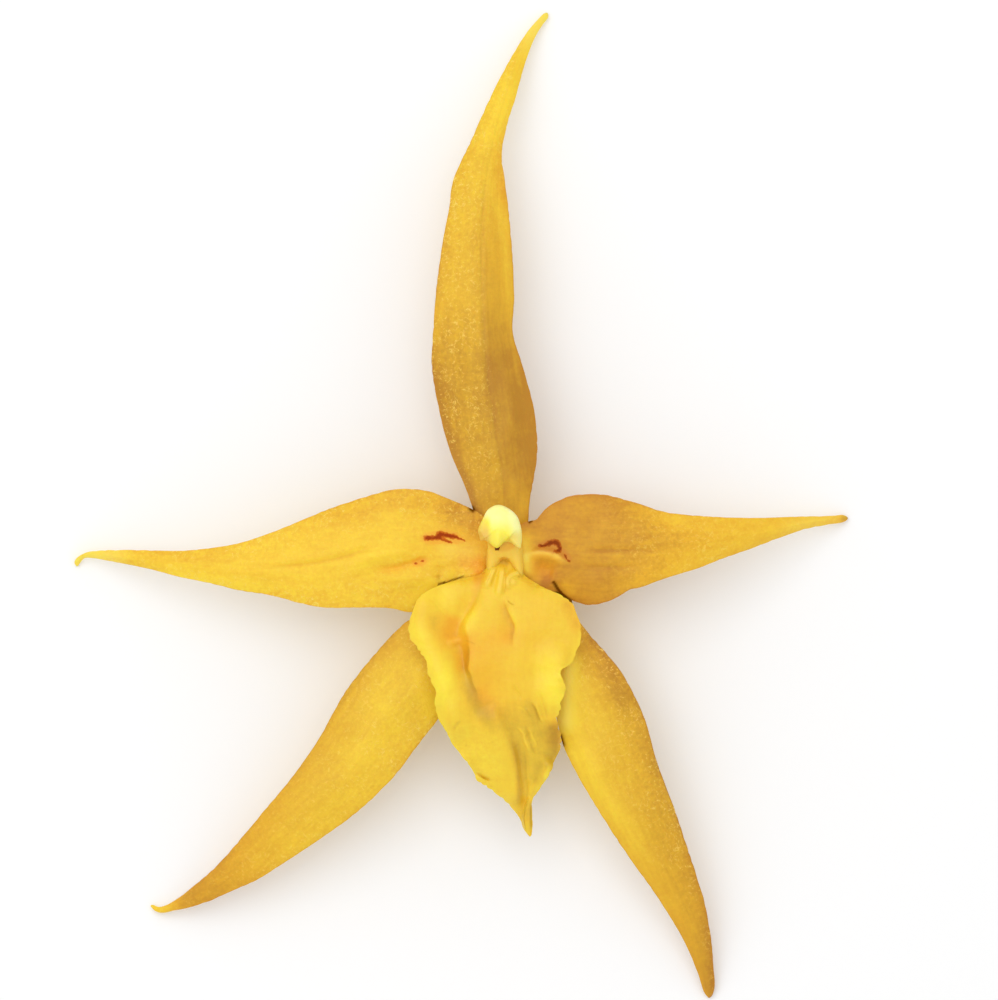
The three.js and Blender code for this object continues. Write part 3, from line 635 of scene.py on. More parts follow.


# each stroke below is (height, width on its left, width on its right, fade, path): folds shape the
# blade, shading strokes paint light and shade onto it, warm strokes add its own warmth and the deeper
# orange painted where shade falls, pale strokes whiten it and paint highlights, and dark strokes are
# thin lines of painted shadow in gaps and creases
dorsalForm = {
    "node": "dorsal_sepal", "level": levels["sepal"], "arch": 4, "turn": 2.4, "reflex": 0.3,
    "waves": 2.2, "phase": 0.1, "seed": 3, "groove": 0.2, "line": 0.09, "length": 84,
    # painted light and shade: lighter towards the tip, and near the base the left half lit and the right half
    # darker and warmer
    "tone": lambda t, v, half: (
        mix(0.22, 0.47, ease((t - 0.3) / 0.22)) + 0.4 * ease((t - 0.5) / 0.35)
        + mix(0.11, 0.0, ease(1.3 * t)) * np.tanh(5 * v * half)),
    "warm": lambda t, v: 0.04 * (v < 0) * ease(3 - 4 * t),
    "glitter": lambda t, v: (
        (0.5 + 0.5 * np.tanh(6 * v) + 0.5 * ease(3 * t - 1.4)) * mix(0.1, 0.88, ease(3.4 * t))
        - ease(4 * t - 3)),
    "shadowLines": [
        (1.4, 0.3, 0.25, 0.3, [(-5.0, 8.4), (-4.6, 7.8), (-4.3, 7.1)]),
        (1.2, 0.2, 0.2, 0.3, [(4.2, 6.4), (4.0, 5.8)]),
    ],
    "folds": [
        (0.3, 1.6, 1.2, 0.3, [(0.2, 14), (1.4, 22), (0.2, 30)]),
        (-0.25, 1.4, 1.4, 0.3, [(-6.5, 24), (-7.4, 32), (-7.2, 40)]),
    ],
    "paintedShading": [
        (0.24, 0.9, 1.1, 0.3, [(1.2, 35), (0.9, 42), (0.4, 50), (-0.6, 57)]),
        (-0.14, 1.6, 2.2, 0.3, [(3.2, 12), (3.4, 20), (1.2, 29), (-0.8, 35)]),
        (-0.31, 1.2, 1.0, 0.3, [(-3.6, 3), (-4.8, 9), (-7.2, 15), (-9.4, 23)]),
        (0.17, 1.5, 1.5, 0.3, [(1.2, 3), (1.5, 7), (1.4, 10), (1.2, 14)]),
        (-0.24, 1.0, 2.0, 0.3, [(-7.4, 15), (-8.8, 20), (-9.8, 25), (-10.6, 31)]),
        (0.18, 1.2, 1.2, 0.3, [(-10.6, 31.5), (-10.3, 36), (-9.9, 41)]),
        (-0.12, 1.2, 1.6, 0.3, [(-1.2, 15), (-1.9, 22), (-2.0, 29), (-1.6, 36)]),
        (-0.08, 1.2, 0.1, 0.25, [(-3.6, 57), (-3.6, 50), (-3.4, 45), (-3.0, 38), (-2.7, 32)]),
        (0.1, 3, 3, 0.3, [(-6.6, 32), (-6.4, 46), (-5.2, 60)]),
        (0.14, 2, 2, 0.3, [(-2.6, 60), (-1.4, 66), (0.8, 71), (2.6, 75)]),
        (0.34, 1.0, 1.4, 0.3, [(3.0, 1), (3.2, 5), (3.4, 8), (3.8, 12)]),
        (0.12, 0.8, 1.2, 0.3, [(1.6, 26), (2.2, 31), (1.4, 36), (1.4, 42)]),
    ],
    "warmStainsAndShade": [
        (0.3, 1.2, 1.0, 0.3, [(0.6, 52), (-0.4, 60), (0.6, 67)]),
        (0.25, 0.9, 0.9, 0.3, [(1.2, 44), (1.0, 50), (0.3, 55), (-0.3, 60)]),
    ],
    "palesAndHighlights": [(0.8, 2, 2, 0.4, [(2.4, 76), (4.6, 80.4), (7, 84), (10, 87)])],
}
lateralLeftForm = {
    "node": "lateral_sepal_left", "level": levels["sepal"], "arch": 2.4, "turn": 2.6, "reflex": 0.22,
    "waves": 2, "phase": 0.4, "seed": 5, "groove": 0.05, "line": 0.01, "length": 70,
    # painted light and shade: the inner side lighter than the outer, the tip darker and warmer where it turns
    # from the light, lighter again at its very end
    "tone": lambda t, v, half: (
        0.74 - 0.08 * ease(2 * t) + 0.14 * v * ease(2 * t) - (0.36 + 0.14 * v) * ease((t - 0.66) / 0.26)
        + 0.6 * ease((t - 0.9) / 0.1)),
    "warm": lambda t, v: (
        0.16 * ease(1 - 3 * t) + 0.35 * ease(2.6 * t - 1.3) * (0.85 - 0.15 * v) * ease(14 * (1 - t))),
    "glitter": lambda t, v: 0.9 - 0.7 * t + 0.2 * v,
    "shadowLines": [],
    "folds": [(-0.2, 1.6, 2.0, 0.3, [(-17, -17), (-23, -26), (-30, -34)])],
    "paintedShading": [
        (-0.14, 1.5, 1.2, 0.35, [(-14.6, -9.8), (-18.4, -13.6), (-22.4, -18.6), (-25.6, -23.6)]),
        (0.14, 3, 3, 0.3, [(-14, -20), (-19, -26), (-26, -33)]),
        (-0.12, 1.2, 1.4, 0.35, [(-10.4, -25.4), (-13.4, -29), (-17.6, -33)]),
        (0.34, 1.4, 1.8, 0.3, [(-13.6, -13.6), (-12.2, -18), (-11.2, -22), (-11.6, -26)]),
        (0.1, 2.4, 3, 0.3, [(-16, -13), (-18, -19), (-20.6, -25)]),
    ],
    "warmStainsAndShade": [],
    "palesAndHighlights": [],
}
lateralRightForm = {
    "node": "lateral_sepal_right", "level": levels["sepal"], "arch": 2.4, "turn": 2.6, "reflex": 0.22,
    "waves": 2, "phase": 0.7, "seed": 8, "groove": 0.05, "line": 0.01, "length": 70,
    # painted light and shade: darker along the outer side and towards the tip, which turns from the light
    "tone": lambda t, v, half: (
        mix(1.1, 0.46, ease(1.3 * t + 0.1)) - 0.17 * v * ease(4 * t) - 0.26 * ease((t - 0.75) / 0.25)),
    "warm": lambda t, v: 0.18 * ease(1 - 3 * t) + 0.25 * ease(2.4 * t - 1.3),
    "glitter": lambda t, v: 0.45 + 0.55 * v - 0.4 * ease(2 * t - 1),
    "shadowLines": [
        (1.0, 0.9, 0.9, 0.2, [(6.6, -2.4), (8.2, -4.4), (9.2, -5.6), (10.6, -7), (11.2, -8.4)]),
        (1.3, 0.28, 0.3, 0.25, [(8.7, -26.2), (8.9, -27.3), (9.35, -28.6)]),
    ],
    "folds": [
        (0.35, 1.8, 1.8, 0.3, [(20, -24), (23.6, -34), (26.6, -44)]),
        (0.3, 1.2, 1.2, 0.3, [(10.6, -25.6), (14.4, -33.6), (19.4, -42)]),
        (0.9, 1.5, 1.5, 0.25, [(10.2, -12), (9.7, -17), (9.4, -22), (9.8, -27)]),
    ],
    "paintedShading": [
        (0.5, 1.5, 1.3, 0.25, [(10.2, -13), (9.8, -17), (9.5, -22), (9.9, -27)]),
        (-0.45, 2.2, 3.4, 0.3, [(10.8, -8.4), (13.2, -11.6), (15.6, -15), (18.2, -20), (20.8, -25.4)]),
        (-0.14, 2.0, 2.4, 0.3, [(17.6, -19), (20, -24), (22, -29), (23.6, -34)]),
        (0.18, 1.6, 1.6, 0.25, [(10.6, -26), (14.6, -34.6), (19.2, -41), (23.4, -48.6)]),
    ],
    "warmStainsAndShade": [(0.16, 1.6, 2.4, 0.3, [(11.6, -9.6), (13.8, -12.4), (16.4, -16.4), (18.6, -20.8)])],
    "palesAndHighlights": [(0.85, 1.3, 1.2, 0.2, [(9.6, -14.6), (9.3, -18), (9.1, -22), (9.7, -27.6)])],
}
petalLeftCrease = [(-33.4, -0.9), (-29.2, -0.5), (-25, 0.3), (-21.6, 1.3), (-19.1, 2.3)]
petalLeftFurrow = [(-20.6, -1.2), (-16.5, -1.1), (-12.9, -0.1), (-10.9, 0.5)]
petalLeftForm = {
    "node": "petal_left", "level": levels["petal"], "arch": 2.6, "turn": 2.4, "reflex": 0.18,
    "waves": 2.4, "phase": 0.3, "seed": 11, "groove": 0.12, "line": 0.0, "length": 66,
    "tone": lambda t, v, half: mix(0.66, 0.8, ease(3.2 * t)),
    "warm": lambda t, v: 0.25 * ease(1 - 9 * t),
    "glitter": lambda t, v: 0.2 + 1.0 * np.abs(v) ** 1.5 + 0.3 * ease(2 * t - 0.6),
    "shadowLines": [
        (1.6, 0.18, 0.17, 0.08, [(-10, -3.72), (-9.3, -3.52), (-8.6, -3.4)]),
        (1.2, 0.12, 0.12, 0.12, [(-9.3, -3.55), (-8, -3.15), (-6.8, -2.72), (-5.8, -2.4)]),
        (0.3, 0.2, 0.2, 0.3, [(-10.0, -2.0), (-9.8, -2.7), (-9.7, -3.4)]),
        (1.4, 0.3, 0.3, 0.3, [(-5.4, 8.0), (-4.8, 7.7), (-4.2, 7.2)]),
    ],
    "palesAndHighlights": [
        (0.4, 1.5, 1.5, 0.3, [(-2.4, 1.2), (-5, 0.9), (-8, 1.6), (-11, 2)]),
        (0.7, 2, 2, 0.35, [(-55.5, 0.4), (-60, 0.4), (-65, 0), (-72, -2)]),
    ],
    "folds": [
        (-0.22, 0.5, 0.8, 0.25, [(-38.2, -1.1), *petalLeftCrease]),
        (-0.4, 0.5, 0.8, 0.3, petalLeftFurrow),
        (0.4, 1.2, 1.0, 0.35, [(-24, -1.2), (-20, 0.5), (-16, 1), (-12.6, 1.6)]),
        (0.3, 1.0, 1.4, 0.35, [(-20, -3), (-15, -3), (-10, -2.4), (-6.5, -1.2)]),
        (-0.35, 0.9, 0.9, 0.35, [(-9.4, -0.6), (-9.6, -2), (-9.9, -3.4)]),
        (-0.3, 1.4, 1.6, 0.3, [(-4.4, 6.6), (-9, 7), (-15, 7.4)]),
        (0.7, 1.2, 1.4, 0.3, [(-2.2, -0.4), (-3.6, -1.8), (-5.2, -2.4), (-7, -2.8)]),
    ],
    "paintedShading": [
        (-0.2, 0.2, 0.24, 0.3, [(-37, -1.1), *petalLeftCrease]),
        (-0.52, 2.4, 2.0, 0.3, [(-0.6, 4.2), (-3.2, 5.2), (-6.8, 7.0), (-12.4, 8.4)]),
        (0.26, 1.0, 1.6, 0.25,
         [(-2.6, -0.9), (-4.4, -1.7), (-6.4, -2.2), (-9, -3.1), (-12, -4.5), (-14, -6)]),
        (-0.2, 0.5, 0.5, 0.35, [(-9.3, -0.9), (-9.5, -2), (-9.6, -3.4)]),
        (-0.26, 2.1, 1.6, 0.3,
         [(-9.6, 8.4), (-12.4, 9.2), (-16.4, 9.2), (-21, 7.8), (-27, 5.9), (-34, 3.6)]),
        (0.2, 1.4, 1.4, 0.3, [(-9.4, -4.2), (-13, -5.4), (-16.6, -6.6)]),
        (0.1, 1.4, 1.4, 0.3, [(-24, -0.6), (-19, 0.8), (-14, 1.2)]),
        (-0.14, 0.8, 2.2, 0.3, [(-37, 0.8), (-44, 0), (-50, 0.4), (-55, 0.8)]),
        (0.24, 1.2, 1.2, 0.3, [(-32, -5.4), (-40, -4.1), (-48, -2.4), (-56, -0.8)]),
        (0.34, 1.6, 1.6, 0.4, [(-59.6, 0.7), (-62.6, 0.8), (-65, 0.2), (-67, -1.4)]),
        (-0.1, 1.6, 1.4, 0.35, [(-8.6, 7.6), (-11.6, 8.4), (-15, 8.6)]),
        (-0.27, 1.3, 1.3, 0.35, [(-8, 0), (-5.4, -0.7), (-3, -0.9)]),
    ],
    "warmStainsAndShade": [
        (0.6, 0.45, 0.7, 0.3, petalLeftFurrow),
        (0.5, 1.3, 1.3, 0.3, [(-8, 0), (-5.4, -0.6), (-3.6, -0.8), (-2, -0.8)]),
        (0.55, 0.9, 1.1, 0.3, [(-2.9, 1.2), (-3.3, -0.4), (-3.7, -1.8), (-4.4, -2.6)]),
    ],
}
petalRightForm = {
    "node": "petal_right", "level": levels["petal"], "arch": 2.2, "turn": 2.4, "reflex": 0.18,
    "waves": 1.8, "phase": 0.8, "seed": 14, "groove": 0.1, "line": 0.0, "length": 53,
    # much darker near the column: partly the petal's own colour, partly painted shade
    "tone": lambda t, v, half: (
        0.11 + 0.1 * ease(3 * t) + 0.54 * ease((t - 0.27) / 0.36) - 0.24 * ease(12 * t - 10.9)),
    "warm": lambda t, v: mix(0.16, 0.06, ease(2 * t)) + 0.22 * ease(12 * t - 10.9),
    "glitter": lambda t, v: 0.6 * ease(5 * t - 1.2) - 0.3 * ease(6 * t - 3.6),
    "shadowLines": [
        (1.4, 0.2, 0.26, 0.12, [(7.5, -3.1), (7.9, -3.6), (8.3, -4.3), (8.9, -5.1)]),
        (1.3, 0.22, 0.2, 0.12, [(8.5, -4.7), (9.3, -5.4), (10.2, -6.1), (10.9, -6.8)]),
        (1.2, 0.24, 0.2, 0.3, [(3.8, 5.5), (4.2, 5.9), (4.6, 6.1)]),
        (0.3, 0.5, 0.5, 0.3, [(51.3, 6.2), (52.1, 6.3), (53.2, 6.4)]),
    ],
    "palesAndHighlights": [
        (0.85, 0.22, 0.5, 0.3, [(2.6, 0.6), (4.4, 1.1), (6.1, 1.25), (7.5, 0.95), (8.8, 0.3), (10, -0.6)]),
        (0.68, 0.6, 0.6, 0.4, [(2.7, 0.5), (3.4, 0.4), (4.2, 0.5)]),
        (0.36, 1.0, 1.0, 0.3, [(3.2, 4.6), (3.4, 1), (3.6, -1.4), (4.2, -3)]),
        (0.4, 1.4, 1.4, 0.35, [(40, 4), (46, 5.4), (51, 6.2), (56, 6.8)]),
    ],
    "folds": [
        (0.6, 0.6, 1.0, 0.3, [(3.0, 0.2), (4.4, 1.0), (6.1, 1.3), (7.6, 1.0), (8.8, 0.4), (10.2, -0.7)]),
        (-0.4, 1.2, 1.4, 0.3, [(4.6, -0.8), (6.4, -1.4), (8, -1.9)]),
        (0.9, 0.9, 0.9, 0.3, [(2.8, 4.6), (3.0, 2), (3.1, -0.6), (3.8, -3)]),
        (-0.14, 0.5, 0.5, 0.3, [(12.4, 1.5), (18, 1.5), (23, 1.7), (28, 2.3)]),
        (-0.15, 0.4, 0.4, 0.3, [(12, -1.1), (16, -1.1), (20.6, -1)]),
        (0.25, 1.6, 1.6, 0.3, [(14, 5.4), (21, 5), (28, 4.6)]),
        (0.25, 1.6, 1.6, 0.3, [(12, -4), (19, -2.6), (27, 0)]),
    ],
    "paintedShading": [
        (0.42, 0.24, 0.8, 0.3, [(2.8, 0.2), (4.6, 0.95), (6.1, 1.1), (7.5, 0.85), (8.8, 0.2), (10, -0.7)]),
        (-0.15, 2.6, 2.6, 0.25, [(11, 6.6), (15.6, 6.4), (22, 4.4), (28, 3.4), (34, 4.2), (41, 5)]),
        (0.5, 0.5, 0.7, 0.4, [(2.6, 0.6), (3.3, 0.4), (4.2, 0.6)]),
        (0.65, 1.3, 1.0, 0.3, [(3.1, 5.4), (3.3, 2.4), (3.6, -0.4), (4.2, -3)]),
        (0.2, 1.4, 1.4, 0.4, [(4.6, -0.6), (6.4, -1.2), (8.4, -1.6)]),
        (-0.2, 0.24, 0.4, 0.3, [(11, 1.5), (14.4, 1.5), (18, 1.5), (22, 1.7)]),
        (-0.14, 0.3, 0.4, 0.3, [(11.4, -1.1), (15, -1.1), (19.6, -1)]),
        (0.13, 1.2, 1.2, 0.3, [(19, 8.2), (23.6, 6.8), (29, 6)]),
        (0.14, 1.0, 1.0, 0.3, [(16, -4.8), (20.4, -3.7), (25, -2.2)]),
        (0.24, 0.9, 0.9, 0.3, [(8.6, -2.8), (9.7, -4.2), (11.4, -5.2)]),
        (0.14, 1.0, 1.0, 0.35, [(4.8, 5), (5.6, 3.4), (5.8, 1.4)]),
        (0.3, 1.0, 1.0, 0.3, [(2.4, -0.4), (3.4, -1.8), (4.6, -2.8), (6, -3.8)]),
        (-0.1, 1.4, 1.4, 0.3, [(13.6, -2.6), (16, -2.2), (18.6, -1.8)]),
        (0.1, 1.2, 1.2, 0.3, [(13, 5), (17.3, 5.5), (21.6, 5)]),
        (-0.08, 1.6, 1.6, 0.3, [(24, 2.4), (28, 3), (32, 3.6)]),
        (-0.25, 0.9, 1.1, 0.4, [(5.4, -3.2), (6.6, -3.3), (7.4, -3.7)]),
    ],
    "warmStainsAndShade": [
        (0.4, 0.5, 0.6, 0.35, [(3.4, 0.5), (6.1, 1.1), (8.8, 0.2), (10, -0.7)]),
        (0.5, 1.1, 1.8, 0.5, [(3.6, -0.7), (5.8, -1.1), (9.6, -1.3)]),
        (0.3, 1.4, 1.6, 0.4, [(5.4, -2.4), (7, -2.7), (8.4, -3)]),
    ],
}

addTepal("dorsalSepal", dorsalOutline, dorsalForm, sepalMaterial)
addTepal("lateralSepalLeft", lateralLeftOutline, lateralLeftForm, sepalMaterial)
addTepal("lateralSepalRight", lateralRightOutline, lateralRightForm, sepalMaterial)
addTepal("petalLeft", petalLeftOutline, petalLeftForm, leftPetalMaterial)
addTepal("petalRight", petalRightOutline, petalRightForm, rightPetalMaterial)
print("sepals and petals built")


# the lip, one broad ruffled blade

lipForm = {
    "rows": 268,
    "columns": 172,
    "thickness": 0.7,
    "edgeThickness": 0.3,
    "spread": 0.07,
    "ruffle": 0.26,
    "ruffleWaves": 6.5,
    "frill": 0.08,
    "frillWaves": 21,
    "unevenHeight": 0.05,
    "unevenSize": 4.5,
    "unevenSeed": 21,
    "rowPace": 1.25,  # above 1, the rib's points lie closer together towards the claw
    "length": 42,
    "tone": 0.58,
    # painted light along the margins
    "rimLight": 0.1,
    "warmth": 0.2,
    "warmFrom": -30,  # y where the warmth sets in, and the length over which it grows
    "warmOver": 14,
    "glitter": 0.85,
    "glitterBelow": -23.5,  # only the lower left glitters
    "glitterLeftOf": 1,
    "ragged": {"size": 0.28, "pitch": 1.7, "seed": 2},
    "profile": [(0, levels["lip"]), (0.15, 17.2), (0.3, 18.2), (0.45, 18.3), (0.6, 17.4), (0.75, 15.4),
                (0.9, 12.2), (1, 9.4)],
}

# paths that more than one list of strokes follows
callusHook = [(0.95, -4.6), (0.65, -3.5), (0.8, -2.7), (1.5, -2.1), (2.3, -2.0), (2.9, -2.5)]
callusTongue = [(1.5, -2.6), (1.55, -3.3), (1.5, -4.0)]
middleGroove = [(0.5, -7.2), (1.2, -8.8), (1.7, -10), (1.5, -11.6)]
rightShoulder = [(8.4, -5.4), (10.4, -7), (11.4, -9.4), (11.2, -12)]

lipFolds = [
    # the callus: a keel on each side, the right one hooked, and a tongue between them
    (0.75, 0.55, 0.5, 0.25, [(-1.1, -0.5), (-1.7, -1.8), (-2.2, -2.9), (-2.8, -4.6)]),
    (0.6, 0.5, 0.45, 0.25, [(-0.1, -0.6), (-0.2, -1.9), (-0.35, -3.2), (-0.6, -4.4), (-0.8, -5.8)]),
    (0.6, 0.4, 0.45, 0.2, callusHook),
    (0.3, 0.45, 0.45, 0.4, callusTongue),
    # the crest inside the left margin
    (1.3, 2.6, 2.0, 0.15, [(-9.4, -4.2), (-12.0, -6.4), (-12.8, -9.5), (-12, -12.5), (-10.7, -15),
                           (-9.4, -18), (-8.5, -21), (-7.4, -24.4), (-6, -27.6)]),
    # the pinched valley beside it, and the plateau's crisp left edge
    (-1.1, 1.0, 2.0, 0.3, [(-3.4, -1.0), (-3.7, -4.2), (-4.9, -6.9), (-6.7, -9.9), (-7.0, -11.6),
                           (-6.3, -13.8), (-6.0, -16), (-5.6, -18.4), (-4.6, -21.6)]),
    (0.55, 3.2, 0.5, 0.3, [(-2.8, -5.4), (-4.4, -8), (-5.4, -10), (-4.9, -11.8), (-4.8, -13.6),
                           (-4.9, -16.2), (-4.4, -18), (-3.6, -20.6)]),
    (0.4, 0.5, 0.5, 0.35, [(-8.8, -12.8), (-7.4, -12.3), (-5.9, -11.9)]),
    # the groove along the middle
    (-0.45, 0.6, 1.7, 0.35, [(-0.3, -5.2), (0.1, -7), (1.0, -9), (1.6, -10.8), (1.3, -14)]),
    # the cupped right lobe
    (0.7, 1.4, 3.0, 0.25, [(9.6, -12), (8.6, -16), (8.8, -20), (8.3, -23.8)]),
    (-0.45, 2.0, 2.0, 0.3, [(5.4, -10), (5.4, -15), (6, -20)]),
    # the keel of the lower lobe, with the double furrow on its right
    (1.0, 1.0, 3.0, 0.15, [(-2, -21.5), (-0.8, -25), (0.6, -28), (1.5, -31), (2.0, -34), (2.3, -38)]),
    (-0.35, 0.8, 0.6, 0.2, [(1.7, -27), (2.4, -30), (2.8, -33), (3.1, -35.6), (2.8, -38.2)]),
    (0.3, 0.8, 0.7, 0.3, [(3.6, -26.6), (4.1, -28.6), (4.5, -30.4), (4.6, -32.6)]),
    (0.25, 0.4, 0.4, 0.3, [(4.1, -32.8), (4.4, -34.4), (4.1, -36)]),
    # fine wrinkles
    (0.14, 0.2, 0.24, 0.25,
     [(1.9, -25.1), (2.5, -25.6), (3.1, -26.3), (3.3, -27.2), (3.7, -28.2), (4.3, -29.4)]),
    (0.12, 0.2, 0.24, 0.25, [(3.5, -24.9), (4.2, -26), (4.45, -26.8), (4.9, -27.6), (5.2, -28.8)]),
    (-0.14, 0.3, 0.24, 0.25, [(3.3, -24.7), (3.65, -26.2), (4.1, -27.6), (4.6, -28.9), (5.2, -29.7)]),
    (0.12, 0.2, 0.22, 0.3, [(3.3, -22.3), (3.9, -22.9), (4.6, -23.8)]),
    (0.14, 0.2, 0.2, 0.25, [(5.0, -21.4), (5.4, -22.8), (5.8, -23.8), (6.3, -25)]),
    (-0.18, 0.16, 0.35, 0.25, [(4.1, -21.2), (4.85, -22.4), (5.3, -23.6), (5.8, -24.9)]),
    (-0.16, 0.3, 0.4, 0.3, [(5.4, -19.6), (6.0, -21.4), (6.5, -23), (6.9, -24.4)]),
    (-0.16, 0.25, 0.25, 0.3, [(1.4, -18.6), (2.1, -19.8), (3, -21.2)]),
    (-0.16, 0.14, 0.16, 0.3, [(0.6, -5.9), (1.05, -6.45), (1.8, -6.8)]),
    # the lower right margin bends down, with a light fold below it
    (-1.2, 1.2, 1.8, 0.25, [(8.8, -23.6), (8.6, -26.6), (7.8, -29.6), (6.9, -31.2)]),
    (0.4, 0.5, 0.5, 0.3, [(7.0, -30.2), (6.6, -32), (6, -33.6)]),
    # the pinch at the left margin, and a crease above it
    (-0.5, 0.6, 0.2, 0.3, [(-4.4, -32.1), (-3.4, -32.8), (-2.4, -33.3), (-1.5, -33.2)]),
    (-0.2, 0.2, 0.2, 0.3, [(-7.6, -26), (-7, -25), (-6, -24.2)]),
    # the tip's right margin is folded over
    (0.55, 0.6, 0.2, 0.2, [(4.2, -35.6), (3.5, -37.6), (3.2, -39.4), (3.7, -41.8)]),
    # the claw dips to meet the petals at each side
    (-0.9, 1.0, 1.2, 0.3, [(-2.2, -0.8), (-3.6, -1.9), (-5.4, -2.6), (-7, -3)]),
    (-0.9, 1.2, 1.0, 0.3, [(2.3, -1.2), (3.4, -2.4), (4.8, -3.4), (6.2, -4.2)]),
]
